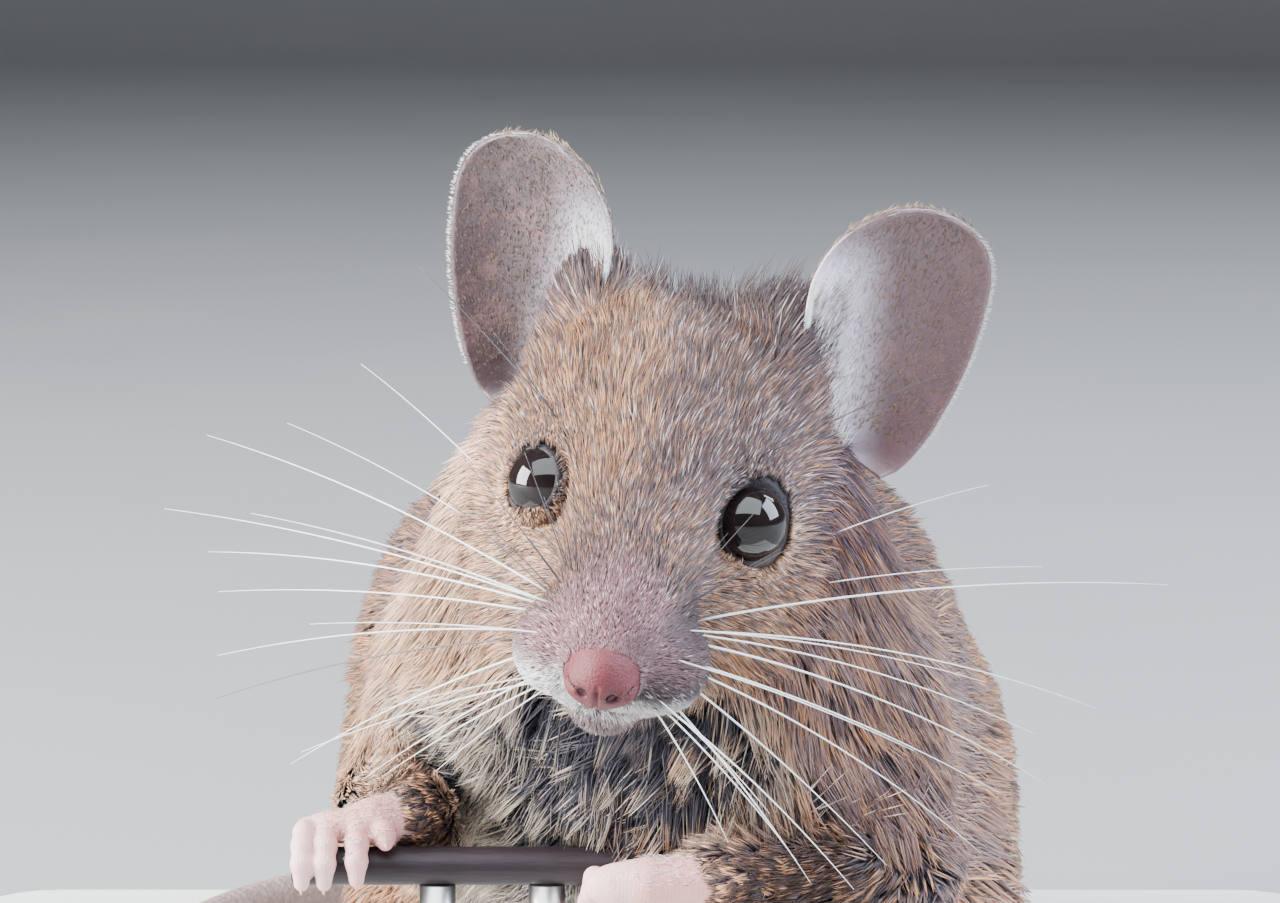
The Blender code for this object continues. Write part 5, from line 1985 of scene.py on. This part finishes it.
def pawLook():
    look = Look("pawSkin")
    mottle = look.noise(1.1, 4.0)
    rings = look.node("TexWave", {"wave_type": "BANDS"}, {"Vector": look.places(), "Scale": 1.6, "Distortion": 5.0})
    fine = look.noise(9.0, 3.0)
    dappled = look.mix((0.86, 0.80, 0.79), (1.0, 1.0, 1.0), mottle)
    colour = look.mix(look.attribute("tint"), dappled, 1.0, "MULTIPLY")
    return look.finish(Base_Color=colour, Roughness=0.5, Specular_IOR_Level=0.5, Subsurface_Weight=0.25,
                       Subsurface_Scale=0.0006, Normal=look.bump(rings * 0.12 + fine, 0.06, 0.7))


def tailLook():
    look = Look("tailSkin")
    mottle = look.noise(0.9, 4.0)
    scales = look.node("TexVoronoi", {}, {"Vector": look.places(), "Scale": 3.4})
    colour = look.mix((0.30, 0.21, 0.19), (0.46, 0.33, 0.30), mottle)
    colour = look.mix(colour, (0.16, 0.11, 0.11), (scales * 1.3).clip() * 0.5)
    return look.finish(Base_Color=colour, Roughness=0.55, Normal=look.bump(scales, 0.1, 0.7))


def eyeLook():
    return grainedLook("eyeball", (0.004, 0.003, 0.004), (0.016, 0.010, 0.009), 2.2, 3.0,
                       Roughness=0.03, Specular_IOR_Level=0.5)


def clawLook():
    return grainedLook("claw", (0.50, 0.27, 0.12), (0.72, 0.48, 0.30), 7.0, 3.0, Roughness=0.3, Coat_Weight=0.4)


def perchLook():
    look = Look("rodFinish")
    grain = look.node("TexNoise", {}, {"Vector": look.node("Mapping", {}, {
        "Vector": look.places(), "Scale": (0.25, 3.0, 3.0)}), "Scale": 2.4, "Detail": 6.0})
    scratches = look.noise(16.0, 4.0, 0.7)
    colour = look.mix((0.005, 0.003, 0.004), (0.024, 0.014, 0.018), grain)
    return look.finish(Base_Color=colour, Roughness=0.36 + scratches * 0.24, Specular_IOR_Level=0.3,
                       Normal=look.bump(grain + scratches * 0.3, 0.05, 0.5))


def standLook():
    look = Look("standPaint")
    cloud = look.noise(0.12, 3.0)
    fine = look.noise(6.0, 4.0)
    colour = look.mix((0.74, 0.73, 0.70), (0.80, 0.79, 0.77), cloud)
    return look.finish(Base_Color=colour, Roughness=0.42 + fine * 0.12, Coat_Weight=0.15,
                       Normal=look.bump(fine, 0.02, 0.35))


def rodLook():
    look = Look("brushedSteel")
    brushed = look.node("TexNoise", {}, {"Vector": look.node("Mapping", {}, {
        "Vector": look.places(), "Scale": (1.0, 1.0, 12.0)}), "Scale": 3.0, "Detail": 4.0})
    colour = look.mix((0.50, 0.49, 0.47), (0.62, 0.61, 0.60), brushed)
    return look.finish(Base_Color=colour, Metallic=1.0, Roughness=0.25 + brushed * 0.15)


def floorLook():
    look = Look("studioPaper")
    cloud = look.noise(0.02, 3.0)
    fine = look.noise(2.5, 4.0)
    colour = look.mix((0.235, 0.235, 0.24), (0.27, 0.268, 0.263), cloud)
    return look.finish(Base_Color=colour, Roughness=0.85, Normal=look.bump(fine, 0.05, 0.3))


# ---- the perch, finer than its solid

def makePerch():
    start, end = perch["ends"]
    tipShares = np.array([0.0, 0.0015, 0.005, 0.011])
    shares = np.concatenate([tipShares, np.linspace(0.02, 0.98, 60), 1.0 - tipShares[::-1]])
    x = start + (end - start) * shares
    inward = np.minimum(x - start, end - x) / perch["bevel"]
    rounding = np.sqrt(np.clip(1.0 - (1.0 - np.clip(inward, 0.0, 1.0)) ** 2, 0.0, 1.0))
    unevenness = 1.0 + 0.006 * np.sin(x * 2.3) + 0.004 * np.sin(x * 5.1 + 1.0)
    radii = perch["radius"] * (1.0 - perch["endShare"] + perch["endShare"] * rounding) * unevenness
    centres = np.stack([x, np.full(len(x), perch["y"]), np.full(len(x), perch["z"])], axis=1)
    return makeTube(centres, radii, 48)


def makeRod(node):
    low, high = (np.array(corner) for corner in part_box(node))
    middle = (low + high) / 2
    heights = np.linspace(low[2], high[2], 6)
    centres = np.column_stack([np.full(6, middle[0]), np.full(6, middle[1]), heights])
    radius = min(high[0] - low[0], high[1] - low[1]) / 2
    return makeTube((centres - bodyOrigin) / unit, radius / unit, 40, (1.0, 0.0, 0.0))


# ---- light and stage

lights = {
    # name: place from the head, in metres; size; watts; colour
    "over": ((0.0, -0.20, 0.33), (0.6, 0.36), 5.3, (0.88, 0.94, 1.0)),
    "left": ((-0.40, -0.07, 0.13), (0.3, 0.3), 13.5, (0.97, 0.98, 1.0)),
    "right": ((0.37, 0.0, 0.20), (0.3, 0.3), 5.4, (0.70, 0.82, 1.0)),
    "rimRight": ((0.30, 0.28, 0.34), (0.2, 0.2), 2.2, (0.86, 0.92, 1.0)),
}

sky = {"colour": (0.86, 0.9, 1.0), "strength": 0.08}


def makeLights():
    head = Vector(toWorld(eyesMiddle))
    for name, (place, size, watts, colour) in lights.items():
        lamp = bpy.data.lights.new(name, "AREA")
        lamp.shape = "RECTANGLE"
        lamp.size, lamp.size_y = size
        lamp.energy = watts
        lamp.color = colour
        holder = bpy.data.objects.new(name, lamp)
        bpy.context.scene.collection.objects.link(holder)
        holder.location = head + Vector(place)
        holder.rotation_euler = (head - holder.location).to_track_quat("-Z", "Y").to_euler()
    world = bpy.data.worlds.new("soft")
    world.use_nodes = True
    soft = world.node_tree.nodes["Background"]
    soft.inputs["Color"].default_value = (*sky["colour"], 1.0)
    soft.inputs["Strength"].default_value = sky["strength"]
    bpy.context.scene.world = world


stage = {
    # in metres
    "front": -1.2,
    "bendStart": 0.9,
    "bendRadius": 0.4,
    "height": 1.8,
    "halfWidth": 2.5,
}


def makeStage():
    # a floor that sweeps up into a backdrop behind the stand
    start, radius = stage["bendStart"], stage["bendRadius"]
    profile = [(stage["front"], 0.0), (start, 0.0)]
    for degrees in range(10, 91, 10):
        turn = math.radians(degrees)
        profile.append((start + radius * math.sin(turn), radius - radius * math.cos(turn)))
    profile.append((start + radius, stage["height"]))
    points = [(x, y, z) for y, z in profile for x in (-stage["halfWidth"], stage["halfWidth"])]
    triangles = gridTriangles(len(profile), 2)
    sweep = addObject("studioFloor", meshFrom("studioFloor", np.array(points), triangles))
    sweep.data.materials.append(floorLook())


# ---- putting it together

def pawTints(points, side, hind):
    # paler towards the ends of the fingers and toes
    distance = fromEnd(points, legName(side, hind))
    first, last = (10.0, 16.0) if hind else (3.5, 6.0)
    return lerp(tones["paw"], tones["fingertip"], smoothStep(distance, first, last))


def makeSkin(fine, paws):
    # body, ears, paws, feet and tail as one mesh
    points = readPoints(fine)
    tint, wet = skinTints(points)
    parts = [(points, triangleArrays(fine)[0], tint, 0)]
    for side in (-1, 1):
        points, faces = makeEar(side)
        parts.append((points, faces, earTints(points, side), 1))
    for side, hind, paw in paws:
        points = readPoints(paw)
        parts.append((points, triangleArrays(paw)[0], pawTints(points, side, hind), 2))
    points, faces = makeTail()
    parts.append((points, faces, plainTint("rosy", len(points)), 3))
    allPoints, allFaces, tints, slots = zip(*parts)
    counts = [len(points) for points in allPoints]
    offsets = np.cumsum([0] + counts[:-1])
    faces = np.concatenate([each + offset for each, offset in zip(allFaces, offsets)])
    mesh = meshFrom("skin", toWorld(np.concatenate(allPoints)), faces)
    setColours(mesh, "tint", np.concatenate(tints))
    setNumbers(mesh, "wet", np.concatenate([wet, np.zeros(sum(counts[1:]))]))
    for look in (skinLook(), earLook(), pawLook(), tailLook()):
        mesh.materials.append(look)
    slotOfFaces = np.repeat(np.array(slots, np.int32), [len(each) for each in allFaces])
    mesh.polygons.foreach_set("material_index", slotOfFaces)
    return addObject("skin", mesh)


def earTints(points, side):
    local = toHead(points) - np.array(ears["base"][side])
    share = local[:, 2] / ears["length"]
    across = local[:, 1] * side / (ears["width"] / 2)
    # the hollow's paler skin with a painted sheen over it, then each ear lighter or dimmer by side: painted light
    tint = lerp(plainTint("earSkin", len(points)), tones["earSheen"], earSheen(across, share) * 0.9)
    return np.minimum(tint * ears["paintedLightBySide"][side], tinting["brightest"])


def finishPiece(name, points, triangles, look, slot, *nodes):
    piece = addObject(name, meshFrom(name, toWorld(points), triangles))
    piece.data.materials.append(look)
    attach(piece, "root")
    if nodes:
        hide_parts(*nodes)
    return piece


fleshNodes = ["head", "nose", "neck", "trunk", "ear_left", "ear_right", "tail_root", "tail_middle", "tail_tip"]
for kind in ("foreleg_", "forepaw_", "hindleg_", "hindfoot_"):
    fleshNodes += [kind + "left", kind + "right"]


def main():
    makeCamera()
    makeLights()
    makeStage()
    coarse = makeCoarseSkin()
    print("skin: coarse form of", len(coarse.polygons), "faces")
    fine = makeFineSkin(coarse)
    paws = [(side, hind, makePaw(side, hind)) for side in ("right", "left") for hind in (False, True)]
    skin = makeSkin(fine, paws)
    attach(skin, "root")
    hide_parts(*fleshNodes)
    print("skin: one mesh of", len(skin.data.polygons), "triangles")

    for side, sign in (("left", 1), ("right", -1)):
        finishPiece("eyeball_" + side, *makeEyeball(sign), eyeLook(), "eye", "eye_" + side)
    finishPiece("claws", *makeClaws(), clawLook(), "bare_skin")
    pale, dark = makeWhiskers()
    finishPiece("whiskers_pale", *pale, hairLook("paleWhisker", (0.93, 0.93, 0.94), 0.3), "coat")
    finishPiece("whiskers_dark", *dark, hairLook("darkWhisker", (0.05, 0.04, 0.045), 0.35), "coat")
    finishPiece("perch_rod", *makePerch(), perchLook(), "perch", "perch")
    print("eyes, claws, whiskers and perch: done")

    fur = furLook()
    region = regionOf(centresOf(coarse))
    meshes = [makeCoatPiece("coat_" + name, coarse, region == k) for k, name in enumerate(coatRegions)]
    meshes += [makeEarCoat("coat_ear_" + name, side) for name, side in (("right", -1), ("left", 1))]
    meshes.append(makePawCoat("coat_paws", paws))
    total = 0
    for mesh in meshes:
        mesh.materials.append(fur)
        piece = addObject(mesh.name, mesh)
        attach(piece, "root")
        total += len(mesh.polygons)
        print("coat:", mesh.name, len(mesh.polygons), "triangles")
    print("coat:", total, "triangles in all")

    for node in ("stand_rod_left", "stand_rod_right"):
        finishPiece(node + "_steel", *makeRod(node), rodLook(), "stand_rod", node)
    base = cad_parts["stand_base"]
    base.data.materials.clear()
    base.data.materials.append(standLook())


main()
